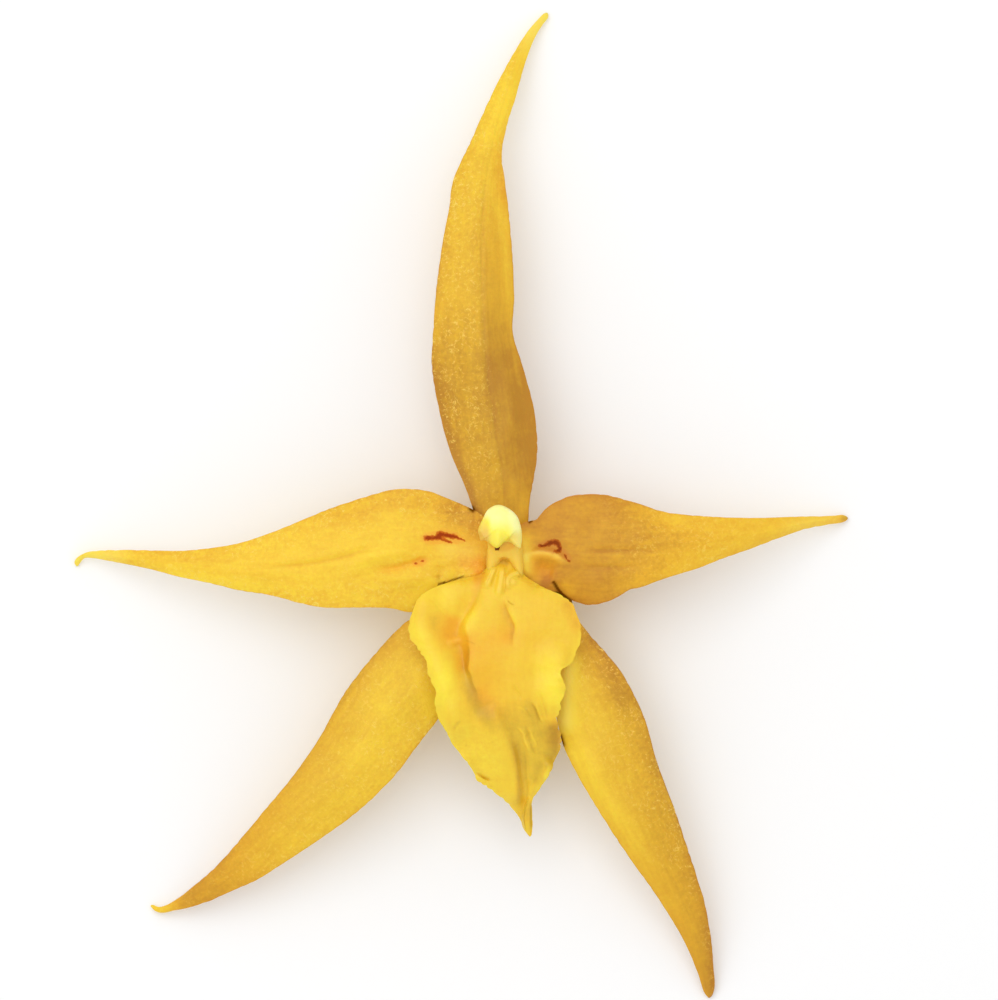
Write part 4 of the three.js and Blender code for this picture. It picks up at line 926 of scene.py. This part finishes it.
lipPaintedShading = [
    # painted light on the bright margins and the yellow shoulder of the plateau
    (0.26, 1.6, 1.4, 0.25,
     [(-12.9, -8), (-12.6, -11), (-11.2, -14), (-9.8, -17), (-8.8, -20.6), (-7.6, -24.6)]),
    (0.2, 2.4, 2.4, 0.4, [(-6.6, -4.4), (-9, -5.4), (-10.6, -8)]),
    (-0.14, 0.9, 0.9, 0.3, [(-10.6, -7.6), (-10.4, -10), (-9.8, -12.6)]),
    (0.22, 0.9, 0.9, 0.35, [(-8.4, -14.4), (-8.3, -17), (-7.8, -20)]),
    (0.36, 1.5, 2.4, 0.3, [(6.6, -12.4), (7.4, -16.6), (7.9, -20), (8.2, -23.6)]),
    (0.24, 1.5, 0.35, 0.3, [(-3.6, -6.2), (-5.6, -9.1), (-5.4, -11.6)]),
    (0.06, 1.5, 1.5, 0.3, [(-4.6, -27.6), (-3, -30.6), (-0.8, -34)]),
    # painted shade under the plateau's left edge and on the slope below it, with a painted highlight on the
    # small ridge across the valley
    (-0.24, 0.08, 0.7, 0.2, [(-5.8, -12), (-5.15, -13.4), (-5.2, -15.4), (-5.4, -16.5), (-4.9, -17.3),
                             (-4.6, -18.6), (-4.0, -20), (-3.8, -22)]),
    (-0.12, 0.5, 1.1, 0.3, [(-6.6, -10), (-6.6, -12.4), (-6.0, -14.6), (-5.9, -17), (-5.6, -19.4)]),
    (-0.1, 1.4, 1.6, 0.3, [(-6.6, -8.4), (-7.5, -10.6), (-7.4, -12.2)]),
    (-0.1, 1.4, 1.2, 0.35, [(-4.6, -18.8), (-3.2, -20.9), (-1.6, -22.6), (0.4, -24.8)]),
    (0.2, 0.3, 0.35, 0.35, [(-8.6, -12.6), (-7.4, -12.2), (-6.5, -12.1)]),
    (-0.36, 1.2, 1.2, 0.35, [(-5.9, -15.4), (-5.3, -19.4), (-3.8, -22.4), (-2, -24.6), (-0.2, -26.8)]),
    # painted shade in the groove along the middle, and light on its right edge
    (-0.16, 0.08, 1.2, 0.25, [(0, -5.4), *middleGroove, (1.3, -13.4)]),
    (0.14, 0.9, 0.1, 0.3, [(0.5, -6.6), (1.4, -8.8), (2.0, -10.2), (1.8, -12)]),
    # painted shade on the right side of the lower lobe, in its furrow and on the margin that bends down, with
    # light on the fold below it
    (-0.26, 3.4, 1.4, 0.35, [(-1.8, -20), (0.4, -24), (1.8, -28), (2.6, -31), (3.2, -35)]),
    (-0.2, 1.5, 1.3, 0.35, [(3.6, -20), (4.2, -22.6), (5.3, -26.2), (6.4, -31)]),
    (-0.14, 1.0, 1.0, 0.3, [(1.4, -35), (2.2, -38), (3, -40.4)]),
    (-0.16, 0.9, 0.3, 0.2, [(0.8, -26.6), (1.75, -29.2), (2.15, -31), (2.3, -33.4), (2.35, -36), (2.2, -38)]),
    (-0.1, 0.8, 0.6, 0.35, [(2.2, -31.4), (2.5, -34), (2.5, -36.6)]),
    (-0.12, 0.14, 0.5, 0.25, [(3.2, -28.2), (3.45, -31), (3.6, -33.4), (3.8, -35), (3.5, -37)]),
    (-0.26, 0.8, 0.9, 0.3, [(5.9, -29.8), (5.2, -32.4), (4.5, -34.6)]),
    (-0.54, 1.5, 1.6, 0.25, [(7.9, -23.6), (8.1, -26.6), (8.3, -29.6), (7, -33.2)]),
    (-0.2, 1.8, 1.4, 0.3, rightShoulder),
    (0.3, 0.25, 0.25, 0.3, [(7.3, -30.8), (6.7, -32.3), (6.2, -33.6)]),
    # painted light on the wrinkles and painted shade in the hollows beside them
    (0.14, 0.13, 0.15, 0.25,
     [(1.9, -25.1), (2.5, -25.6), (3.1, -26.3), (3.3, -27.2), (3.7, -28.2), (4.2, -29.2)]),
    (0.12, 0.13, 0.15, 0.25, [(3.6, -25.2), (4.2, -26), (4.45, -26.8), (4.9, -27.6), (5.2, -28.6)]),
    (-0.12, 0.3, 0.2, 0.25, [(3.3, -24.7), (3.65, -26.2), (4.1, -27.6), (4.6, -28.9), (5.3, -29.7)]),
    (0.13, 0.16, 0.12, 0.25, [(5.1, -21.8), (5.4, -22.8), (5.8, -23.8), (6.2, -24.8)]),
    (-0.15, 0.12, 0.35, 0.25, [(4.1, -21.3), (4.85, -22.4), (5.3, -23.6), (5.8, -24.9)]),
    (-0.12, 0.2, 0.16, 0.25, [(5.5, -20), (6.0, -21.4), (6.4, -22.8), (6.8, -24.2)]),
    (-0.08, 0.2, 0.16, 0.3, [(3.0, -22.2), (3.7, -22.9), (4.3, -23.8)]),
    (0.1, 0.16, 0.12, 0.3, [(2.0, -22.2), (3.0, -22.6), (3.9, -23.4)]),
    (-0.07, 0.2, 0.2, 0.3, [(-7.9, -26), (-7.2, -25), (-6.4, -24.2)]),
    # painted light on the callus, and painted shade in the pinch at the left margin and at the tip
    (0.25, 0.7, 0.6, 0.25, [(-1.1, -0.3), (-1.8, -2), (-2.3, -3.2), (-2.9, -5)]),
    (0.25, 0.5, 0.5, 0.2, [(-0.1, -0.4), (-0.3, -2.4), (-0.6, -4), (-0.85, -6)]),
    (0.2, 0.8, 0.8, 0.3, [(1.0, -4.6), (1.1, -3.2), (1.7, -2.4), (2.6, -2.4)]),
    (-0.18, 0.35, 0.2, 0.3, [(-4.0, -32.2), (-3.2, -32.9), (-2.4, -33.3), (-1.5, -33.3)]),
    (-0.25, 0.3, 0.25, 0.25, [(4.3, -36.4), (4.3, -39), (4.3, -41.6)]),
    (-0.16, 0.15, 0.25, 0.3, [(3.2, -39.2), (3.3, -40.4), (3.7, -41.4)]),
    (-0.12, 1.2, 1.0, 0.3, [(2.4, -34), (3.2, -37.4), (3.8, -41)]),
    # painted shadow under the column's arch, painted shade on the claw beside the left petal and light on the
    # right one
    (-0.38, 0.6, 0.6, 0.3, [(-1.3, -0.5), (-0.1, -0.2), (1.2, -0.6)]),
    (-0.16, 0.9, 1.2, 0.35, [(-2.6, -1.4), (-3.4, -2.6), (-5, -3)]),
    (0.12, 1.2, 1.0, 0.3, [(1.6, -0.6), (2.6, -1.6), (3.6, -2.6), (5.2, -3.6)]),
]
lipWarmStainsAndShade = [
    # a warmer middle, the deeper orange painted as shade on the claw, the right margin, the slopes and the
    # furrow, and less warmth on the lit left margin
    (0.22, 4.2, 3.8, 0.3, [(0.6, -6), (0.2, -13), (-0.8, -19), (0.8, -27)]),
    (0.55, 0.9, 1.2, 0.35, [(-2.6, -1.2), (-3.4, -2.4), (-5, -2.9)]),
    (0.5, 1.2, 0.9, 0.35, [(2.6, -1.6), (3.6, -2.8), (5.2, -3.8)]),
    (0.5, 1.5, 1.4, 0.3, [(8.2, -22.6), (8.0, -26), (7.6, -29.4)]),
    (0.45, 1.8, 1.4, 0.3, rightShoulder),
    (0.16, 2.2, 2.2, 0.35, [(3, -5.4), (5, -8), (4.6, -12.4), (3.4, -17)]),
    (0.34, 1.4, 1.4, 0.35, [(-5.0, -18), (-3.4, -20.8), (-1.6, -22.6), (0.6, -25)]),
    (0.3, 0.8, 0.5, 0.25, [(1, -26), (2, -30), (2.4, -34), (2.5, -38)]),
    (0.26, 1.4, 1.4, 0.35, [(-4.9, -9.4), (-4.6, -12), (-4.4, -15)]),
    (-0.2, 1.2, 1.6, 0.25, [(-9.8, -15.6), (-9, -20), (-8, -24), (-6.2, -27.4)]),
    # the deeper orange painted as shade in the hollow beside the plateau and along the plateau's edge
    (0.95, 1.0, 2.1, 0.3, [(-6.6, -7.8), (-7.4, -9.8), (-7.7, -11.6), (-6.8, -13.4)]),
    (0.85, 0.9, 1.2, 0.25, [(-6.0, -10.6), (-5.7, -12.6), (-5.8, -15), (-5.7, -17.6)]),
    (0.35, 0.5, 0.9, 0.3, [(-3.4, -0.8), (-3.8, -4.2), (-4.7, -6.8), (-5.9, -8.8)]),
    (0.3, 0.9, 0.9, 0.5, [(-3.8, -1.6), (-4.1, -3), (-4, -5)]),
    (0.34, 0.08, 1.2, 0.25, [(0, -5.4), *middleGroove, (1.3, -13.4)]),
    (0.44, 1.6, 1.6, 0.4, [(-4.4, -12.8), (-2, -11.6), (0.4, -11.8), (2.6, -12.6)]),
    (0.4, 2.6, 1.4, 0.25, [(-3.9, -10.6), (-3.8, -14), (-3.6, -17), (-3.0, -20), (-1.6, -23)]),
    (0.2, 0.8, 0.8, 0.3, [(3.2, -35.6), (3.6, -38), (3.8, -41)]),
]
lipPalesAndHighlights = [
    # paler callus ridges, and a painted highlight on the small ridge across the valley
    (0.8, 0.5, 0.45, 0.25, [(-1.1, -0.5), (-1.7, -1.8), (-2.2, -2.9), (-2.9, -4.8)]),
    (0.9, 0.4, 0.4, 0.25, [(-0.1, -0.6), (-0.2, -1.9), (-0.35, -3.2), (-0.6, -4.4), (-0.85, -6)]),
    (0.8, 0.45, 0.45, 0.2, callusHook),
    (0.7, 0.5, 0.5, 0.4, callusTongue),
    (0.5, 0.3, 0.35, 0.35, [(-8.4, -12.5), (-7.4, -12.2), (-6.6, -12.1)]),
]
lipShadowLines = [
    # painted shadow as thin dark lines in the creases, the groove and the furrows and along the plateau's
    # edge and the callus
    (0.12, 0.15, 0.5, 0.3, [(-2.9, -1.2), (-3.2, -3.4), (-4.0, -6.2), (-5.2, -8.4), (-6.2, -9.9)]),
    (0.1, 0.07, 0.4, 0.2, [(-5.6, -12.3), (-5.12, -13.4), (-5.15, -15.4), (-5.4, -16.5), (-4.9, -17.3),
                           (-4.6, -18.6), (-4.1, -19.8)]),
    (0.2, 0.12, 0.14, 0.3, [(-6, -12.1), (-5, -12.35), (-3.9, -12.9)]),
    (0.12, 0.06, 0.5, 0.25, [(0.1, -5.8), *middleGroove, (1.3, -13.2)]),
    (0.4, 0.08, 0.1, 0.2, [(0.7, -6.05), (1.1, -6.5), (1.75, -6.8)]),
    (0.2, 0.15, 0.1, 0.3, [(0.35, -1.6), (0.4, -3), (0.3, -4.4), (-0.1, -5.6)]),
    (0.2, 0.1, 0.15, 0.3, [(-1.0, -1.2), (-1.5, -2.6), (-1.9, -4)]),
    (0.3, 0.14, 0.14, 0.3, [(1.2, -0.7), (1.7, -1.1), (2.1, -1.6)]),
    (0.3, 0.16, 0.16, 0.3, [(2.2, -2.3), (2.6, -2.7)]),
    (0.14, 0.08, 0.16, 0.25, [(4.3, -21.5), (4.9, -22.5), (5.3, -23.6), (5.75, -24.8)]),
    (0.06, 0.5, 0.2, 0.25, [(1.6, -29), (2.15, -31), (2.4, -33.4), (2.6, -36), (2.4, -38)]),
    (0.08, 0.1, 0.2, 0.25, [(3.4, -29), (3.5, -31.4), (3.65, -33.6), (3.8, -35.2), (3.5, -37)]),
    (0.3, 0.12, 0.14, 0.3, [(4.25, -36.6), (4.2, -39), (4.25, -41.4)]),
    (0.1, 0.2, 0.12, 0.3, [(-4.1, -32.2), (-3.2, -32.9), (-1.8, -33.3)]),
    (0.06, 0.12, 0.16, 0.3, [(-7.7, -26.1), (-7, -25.1), (-6.3, -24.3)]),
]


def lipMiddle(t, v, x, y, half):  # height of the lip's middle layer
    form = lipForm
    profile = smoothCurve(form["profile"])(t[:, 0])[:, 1][:, None]
    spread = -form["spread"] * half * v * v
    uneven = 0.6 + 0.5 * np.sin(23 * t + 4 * v + 1.3 * np.sin(11 * t))
    ruffleTurns = form["ruffleWaves"] * t + 0.5 * np.sin(9 * t) + 0.6 * v
    frillTurns = form["frillWaves"] * t + 0.9 * np.sin(13 * t)
    ruffle = form["ruffle"] * np.abs(v) ** 4 * np.sin(2 * math.pi * ruffleTurns)
    frill = form["frill"] * np.abs(v) ** 12 * np.sin(2 * math.pi * frillTurns)
    z = profile + spread + (ruffle + frill) * uneven * ease(7 * t) + pathField(lipFolds, x, y)
    return z + form["unevenHeight"] * ripple(x, y, form["unevenSeed"], form["unevenSize"], 3)


def addLip():
    form = lipForm
    t, v, x, y, half = bladeGrid(lipOutline, form["rows"], form["columns"], form["rowPace"], form["ragged"])
    z = lipMiddle(t, v, x, y, half)
    thickness = mix(form["thickness"], form["edgeThickness"], np.abs(v) ** 4)
    points, faces = closedBlade(x, y, z, thickness, 0)
    piece = addMesh("lipBlade", points, faces, "lip", tissueMaterial("lipTissue", lipLook))
    # painted light and shade: the shading strokes, and painted light along the margins
    tone = form["tone"] + pathField(lipPaintedShading, x, y) + form["rimLight"] * ease((np.abs(v) - 0.9) / 0.1)
    warm = form["warmth"] * ease((y - form["warmFrom"]) / form["warmOver"]) + pathField(lipWarmStainsAndShade, x, y)
    glitter = form["glitter"] * ease((form["glitterBelow"] - y) / 5) * ease((form["glitterLeftOf"] - x) / 3)
    paint(
        piece,
        tone=bothSides(tone),
        warm=bothSides(np.clip(warm, 0, 1)),
        glitter=bothSides(glitter),
        pale=bothSides(np.clip(pathField(lipPalesAndHighlights, x, y), 0, 1)),
        line=bothSides(np.clip(pathField(lipShadowLines, x, y), 0, 1)),
        lengthwise=lengthwise(t, v, half, form["length"]),
    )


addLip()
print("lip built")


# round organs: column, cap, pollen and stalk

def loft(rings):  # a closed skin over rings of points, with a middle point at each end
    rings = np.asarray(rings)
    count = rings.shape[1]
    points = rings.reshape(-1, 3)
    faces = []
    for i in range(len(rings) - 1):
        for j in range(count):
            a, b = i * count + j, i * count + (j + 1) % count
            faces.append([a, b, b + count, a + count])
    first, last = len(points), len(points) + 1
    lastRing = (len(rings) - 1) * count
    for j in range(count):
        after = (j + 1) % count
        faces.append([after, j, first])
        faces.append([lastRing + j, lastRing + after, last])
    return np.vstack([points, rings[0].mean(0), rings[-1].mean(0)]), faces


def ringsAlong(path, steps, sides, levelRings, shape):  # rings lie level, or square to the path
    shares = np.linspace(0, 1, steps + 1)
    curve = evenCurve(path)
    centres = curve(shares)
    ahead = curve(np.minimum(shares + 0.001, 1)) - curve(np.maximum(shares - 0.001, 0))
    angles = np.linspace(0, 2 * math.pi, sides, endpoint=False)
    rings = []
    for t, centre, way in zip(shares, centres, ahead):
        square = np.array([0, way[2], -way[1]]) / math.hypot(way[1], way[2])
        back = np.array([0, 1, 0]) if levelRings else square
        width, depth = shape(t, angles)
        ring = centre + (depth * np.sin(angles))[:, None] * back
        ring[:, 0] += width * np.cos(angles)
        ring[:, 2] = np.maximum(ring[:, 2], 0)
        rings.append(ring)
    return rings


def paintFlesh(piece, points, tone, warm, pale=0.0):
    none = np.zeros(len(points))
    paint(
        piece,
        tone=tone + none,
        warm=np.clip(warm + none, 0, 1),
        pale=np.clip(pale + none, 0, 1),
        glitter=none + 0.5,
        line=none,
        lengthwise=points,
    )


columnForm = {
    "steps": 80, "sides": 128,
    "path": [(0.3, 1.3, levels["columnFoot"]), (0.3, 1.5, 16.5), (0.15, 2.4, 18.4),
             (-0.2, 4.1, levels["columnEnd"])],
    "footWidth": 2.7, "endWidth": 2.3, "footDepth": 2.2, "endDepth": 2.0,
    "archTop": 0.62, "archSpread": 0.7, "archEdge": 0.4, "hollow": 0.3,
    "footLobe": 2.1, "lobeAngle": 0.95, "lobeSpread": 0.36, "lobeTop": 0.75, "lobeFade": 0.6,
    "lobeWidening": 0.1,
    "rootMiddle": (0, 1.6), "rootDepth": 1.9,
    # height and half width of each ring of the root
    "rootRings": [(12.9, 1.9), (13.4, 1.8), (13.6, 1.15), (14.6, 1.15), (14.8, 1.5), (15, 1.8)],
    # painted shade: darker and warmer in the stigma's hollow, under the cap and over the arch's top
    "tone": 1.1, "hollowShade": 0.26, "endShade": 0.36, "duskShade": 0.12,
    "warmth": 0.2, "hollowWarmth": 0.1, "endWarmth": 0.4, "duskWarmth": 0.25,
    "duskPlace": (-0.05, 0.1), "duskSize": (0.8, 0.6),  # where the painted shadow over the arch's top lies, and its size
}


def archDepth(t, turned):  # the stigma's hollow, roofed by a round arch
    form = columnForm
    halfAngle = form["archSpread"] * np.sqrt(np.clip(1 - (t / form["archTop"]) ** 2, 0, 1))
    return ease((halfAngle - np.abs(turned)) / form["archEdge"])


def turnedFrom(angles):  # angle about the column from the middle of its front
    return np.arctan2(np.sin(angles + math.pi / 2), np.cos(angles + math.pi / 2))


def columnShape(t, angles):  # a lobe at each side of the hollow reaches over the lip's base
    form = columnForm
    turned = turnedFrom(angles)
    low = ease((form["lobeTop"] - t) / form["lobeFade"])
    lobe = form["footLobe"] * low * bump(np.abs(turned) - form["lobeAngle"], form["lobeSpread"])
    held = 1 - form["hollow"] * archDepth(t, turned)
    width = mix(form["footWidth"], form["endWidth"], t) * (held + form["lobeWidening"] * lobe)
    depth = mix(form["footDepth"], form["endDepth"], t) * (held + lobe)
    return width, depth


def columnRoot(angles):  # runs down between the petals to the sepals
    form = columnForm
    middle = form["rootMiddle"]
    along = middle[1] + form["rootDepth"] * np.sin(angles)
    return [np.stack([middle[0] + width * np.cos(angles), along, np.full(len(angles), height)], -1)
            for height, width in form["rootRings"]]


def addColumn():
    form = columnForm
    steps, sides = form["steps"], form["sides"]
    angles = np.linspace(0, 2 * math.pi, sides, endpoint=False)
    root = columnRoot(angles)
    points, faces = loft([*root, *ringsAlong(form["path"], steps, sides, True, columnShape)])
    material = tissueMaterial("columnTissue", columnLook)
    piece = addMesh("columnBody", points, faces, "column", material)
    t = np.repeat([*[0] * len(root), *np.linspace(0, 1, steps + 1)], sides)
    turned = np.tile(turnedFrom(angles), len(root) + steps + 1)
    hollow = np.append(archDepth(t, turned), [0, 0])
    end = np.append(ease(6 * t - 4.4), [0, 0])  # painted shade under the cap
    # a painted shadow over the arch's top
    place, size = form["duskPlace"], form["duskSize"]
    dusk = bump(points[:, 0] - place[0], size[0]) * bump(points[:, 1] - place[1], size[1])
    tone = form["tone"] - form["hollowShade"] * hollow - form["endShade"] * end - form["duskShade"] * dusk
    warm = form["warmth"] + form["hollowWarmth"] * hollow + form["endWarmth"] * end
    paintFlesh(piece, points, tone, warm + form["duskWarmth"] * dusk)


addColumn()

capForm = {
    "middle": (-0.4, 5.2),
    "rim": [(2.85, 4.1), (2.65, 5.3), (2.1, 6.7), (1.0, 7.75), (-0.7, 8.4), (-2.2, 7.75), (-3.1, 6.2),
            (-3.8, 4.5), (-3.6, 3.7), (-3.35, 2.95), (-2.9, 3.05), (-2.3, 2.8), (-1.45, 2.1), (-0.9, 1.85),
            (-0.3, 2.25), (0.25, 2.75), (1.05, 2.72), (1.9, 2.15), (2.6, 1.85), (2.85, 2.9)],
    "sectors": 180, "rings": 60,
    "crown": 2.2, "innerCrown": 1.75, "thickness": 0.6, "innerLift": 0.15, "lowest": 0.9,
    "domeReach": 0.985, "domePower": 2.4,
    "beakLift": 0.45, "beakMiddle": -0.8, "beakWidth": 1.1, "beakTop": 4.4, "beakFade": 2.4,
    "flapDrop": 0.75, "flapTop": 4.9, "flapFade": 1.8,
    # a point of each crease between hood and flap, and how fast it runs sideways
    "leftCrease": (-2.8, 3, -0.55), "rightCrease": (0.24, 2.7, 0.95), "creaseWidth": 0.6,
    # painted light and shade on the hood: lighter at the back and on the right, the left flank and the flaps
    # darker and warmer in shade
    "frontTone": 0.42, "backTone": 0.9, "rightLight": 0.38, "flankShade": 0.42,
    "leftFlapWarmth": 0.35, "rightFlapWarmth": 0.25, "flankWarmth": 0.3, "rightFlapPaleness": 1.3,
}


def creaseAt(crease, y):
    startX, startY, slope = crease
    return startX + slope * (y - startY)


def capFlap(x, y):  # 1 on the two side flaps, 0 on the hood and its beak
    form = capForm
    inside = np.minimum(x - creaseAt(form["leftCrease"], y), creaseAt(form["rightCrease"], y) - x)
    low = ease((form["flapTop"] - y) / form["flapFade"])
    return (1 - ease(inside / form["creaseWidth"] + 0.5)) * low


def capEdge(rim, sectors):  # a ring of points along the rim, rounded also where it closes
    spare = 3
    looped = smoothCurve([*rim[-spare:], *rim, *rim[:spare]])
    steps = spare + len(rim) * np.arange(sectors) / sectors
    return looped(steps / (len(rim) + 2 * spare - 1))[:, :2]


def capSheet(edge, crown, lift):  # the outer or the inner skin of the hood, from its top to its rim
    form = capForm
    middle = np.array(form["middle"])
    shares = np.arange(1, form["rings"] + 1) / form["rings"]
    plan = middle + shares[:, None, None] * (edge - middle)
    x, y = plan[..., 0], plan[..., 1]
    dome = np.sqrt(1 - (form["domeReach"] * shares[:, None]) ** form["domePower"])
    beak = form["beakLift"] * bump(x - form["beakMiddle"], form["beakWidth"])
    beak = beak * ease((form["beakTop"] - y) / form["beakFade"])
    base = levels["capRim"] + lift
    height = base + crown * dome + beak - form["flapDrop"] * capFlap(x, y)
    height = np.maximum(height, levels["capRim"] - form["lowest"])
    return np.vstack([[[*middle, base + crown]], np.dstack([plan, height]).reshape(-1, 3)])


def capFaces(sectors, rings, start):  # start is the number of the inner skin's first point
    faces = []
    for k in range(sectors):
        after = (k + 1) % sectors
        faces.append([0, 1 + k, 1 + after])
        faces.append([start, start + 1 + after, start + 1 + k])
        for i in range(rings - 1):
            a, b = 1 + i * sectors + k, 1 + i * sectors + after
            faces.append([a, a + sectors, b + sectors, b])
            faces.append([start + a, start + b, start + b + sectors, start + a + sectors])
        a, b = 1 + (rings - 1) * sectors + k, 1 + (rings - 1) * sectors + after
        faces.append([a, start + a, start + b, b])
    return faces


def addCap():
    form = capForm
    edge = capEdge(form["rim"], form["sectors"])
    outer = capSheet(edge, form["crown"], form["thickness"])
    inner = capSheet(edge, form["innerCrown"], form["innerLift"])
    points = np.vstack([outer, inner])
    faces = capFaces(form["sectors"], form["rings"], len(outer))
    material = tissueMaterial("capTissue", capLook)
    piece = addMesh("capHood", points, faces, "anther_cap", material)
    x, y = points[:, 0], points[:, 1]
    flap = capFlap(x, y)
    leftFlap, rightFlap = flap * (x < 0), flap * (x > 0)
    flank = ease((-1.6 - x) / 1.0) * ease((7.2 - y) / 1.6)  # painted shade on the hood's left side
    # painted light and shade: the back lighter than the beak, the right side lit, the flaps and the left
    # flank warmer in shade
    tone = mix(form["frontTone"], form["backTone"], ease((y - 3.4) / 3.4))
    tone = tone + form["rightLight"] * ease((x - 0.4) / 1.8) - form["flankShade"] * flank
    warm = form["leftFlapWarmth"] * leftFlap + form["flankWarmth"] * flank
    warm = warm + form["rightFlapWarmth"] * rightFlap * ease((1.2 - x) / 0.8)
    paintFlesh(piece, points, tone, warm, form["rightFlapPaleness"] * rightFlap * ease((3.4 - x) / 1.6))


addCap()

pollenForm = {
    "steps": 56, "sides": 48,
    "path": [(-0.9, 1.5, 20.95), (-0.8, 2.8, 21), (-0.5, 4.4, 21.1), (-0.4, 6.1, 21.1)],
    "widths": [(0, 0.3), (0.1, 0.42), (0.25, 0.34), (0.45, 0.5), (0.65, 1.3), (0.85, 1.3), (1, 0.5)],
    "thickness": 0.6,
    "cleft": 0.3,
    "cleftWidth": 0.3,
    "cleftFrom": 0.8,  # only the masses are cleft, not the strap
    "tone": 0.35,
}


def addPollen():
    form = pollenForm
    shares = np.linspace(0, 1, form["steps"] + 1)
    widths = smoothCurve(form["widths"])(shares)[:, 1]
    angles = np.linspace(0, 2 * math.pi, form["sides"], endpoint=False)
    rings = []
    for centre, width in zip(evenCurve(form["path"])(shares), widths):
        notch = bump(np.cos(angles), form["cleftWidth"]) * (width > form["cleftFrom"])
        cleft = 1 - form["cleft"] * notch
        ring = np.tile(centre, (len(angles), 1))
        ring[:, 0] -= width * np.cos(angles)
        ring[:, 2] += form["thickness"] / 2 * cleft * np.sin(angles)
        rings.append(ring)
    points, faces = loft(rings)
    material = tissueMaterial("pollenWax", pollenLook)
    piece = addMesh("pollenMasses", points, faces, "pollinarium", material)
    paintFlesh(piece, points, form["tone"], 0.0)


addPollen()

stalkForm = {
    "steps": 150, "sides": 72,
    "path": [(0, -0.4, levels["receptacle"]), (0, -0.6, 10.2), (0.1, -2, 7), (0.4, -6.5, 3.8),
             (0.8, -13, 2.3), (1.2, -20, 1.6), (1.6, -27, 1.35), (1.8, -34, 1.3)],
    "radii": [(0, 3.1), (0.06, 2.5), (0.15, 2), (0.35, 2), (0.55, 1.6), (0.75, 1.35), (1, 1.35)],
    "ribs": 6, "ribDepth": 0.07, "ribMiddle": 0.3, "ribReach": 0.25,
    "lowTone": 0.2, "toneRise": 14,  # the height over which the tone would rise by 1
}


def stalkShape(t, angles):  # the ovary has ribs, the stalk below it is round
    form = stalkForm
    depth = form["ribDepth"] * bump(t - form["ribMiddle"], form["ribReach"])
    radius = smoothCurve(form["radii"])(t)[0, 1] * (1 + depth * np.cos(form["ribs"] * angles))
    return radius, radius


def addStalk():
    form = stalkForm
    points, faces = loft(ringsAlong(form["path"], form["steps"], form["sides"], False, stalkShape))
    material = tissueMaterial("stalkTissue", stalkLook)
    piece = addMesh("ovaryStalk", points, faces, "ovary_pedicel", material)
    tone = form["lowTone"] + points[:, 2] / form["toneRise"]  # lighter towards the bloom
    paintFlesh(piece, points, tone, 0.0)


addStalk()
print("column, cap, pollen and stalk built")


# floor, light and camera

studio = {
    "floorSize": 6.0,
    "floorDrop": 0.0002,  # metres below the bloom's lowest points
    "floorColor": (0.95, 0.95, 0.95),
    "floorRoughness": 0.9,
    "keyPower": 3.0,
    "keySize": 0.85,
    "keyPlace": (-0.18, 0.22, 0.82),
    "skyStrength": 0.79,
}

floorMesh = bpy.data.meshes.new("floor")
reach = studio["floorSize"] / 2
floorMesh.from_pydata([(-reach, -reach, 0), (reach, -reach, 0), (reach, reach, 0), (-reach, reach, 0)],
                      [], [(0, 1, 2, 3)])
floor = bpy.data.objects.new("floor", floorMesh)
floor.location.z = -studio["floorDrop"]
bpy.context.scene.collection.objects.link(floor)
floorMaterial = bpy.data.materials.new("paleFloor")
floorMaterial.use_nodes = True
floorShader = floorMaterial.node_tree.nodes["Principled BSDF"]
floorShader.inputs["Base Color"].default_value = (*studio["floorColor"], 1)
floorShader.inputs["Roughness"].default_value = studio["floorRoughness"]
floorMesh.materials.append(floorMaterial)

keyData = bpy.data.lights.new("key", "AREA")
keyData.energy = studio["keyPower"]
keyData.size = studio["keySize"]
key = bpy.data.objects.new("key", keyData)
key.location = studio["keyPlace"]
key.rotation_euler = (-Vector(studio["keyPlace"])).to_track_quat("-Z", "Y").to_euler()
bpy.context.scene.collection.objects.link(key)

world = bpy.data.worlds.new("softRoom")
world.use_nodes = True
background = world.node_tree.nodes["Background"]
background.inputs["Color"].default_value = (1, 1, 1, 1)
background.inputs["Strength"].default_value = studio["skyStrength"]
bpy.context.scene.world = world
bpy.context.scene.view_settings.view_transform = "Standard"

view = {
    "lens": 600.0,  # a long lens from far above keeps the outline true
    "sensor": 36.0,
    "pointSize": 0.15213,  # millimetres that one picture point covers
    "pictureHeight": 1000,
    "middle": (-4, 60),  # picture centre from the column's foot, in picture points
    "focusHeight": 8.0,
    "reach": 20,  # metres that the camera sees ahead
}
cameraData = bpy.data.cameras.new("above")
cameraData.lens = view["lens"]
cameraData.sensor_width = view["sensor"]
cameraData.clip_end = view["reach"]
distance = view["pictureHeight"] * view["pointSize"] * view["lens"] / view["sensor"]
camera = bpy.data.objects.new("above", cameraData)
camera.location = Vector((
    view["middle"][0] * view["pointSize"],
    view["middle"][1] * view["pointSize"],
    distance + view["focusHeight"],
)) * mm + shift
bpy.context.scene.collection.objects.link(camera)
bpy.context.scene.camera = camera

print("scene ready")
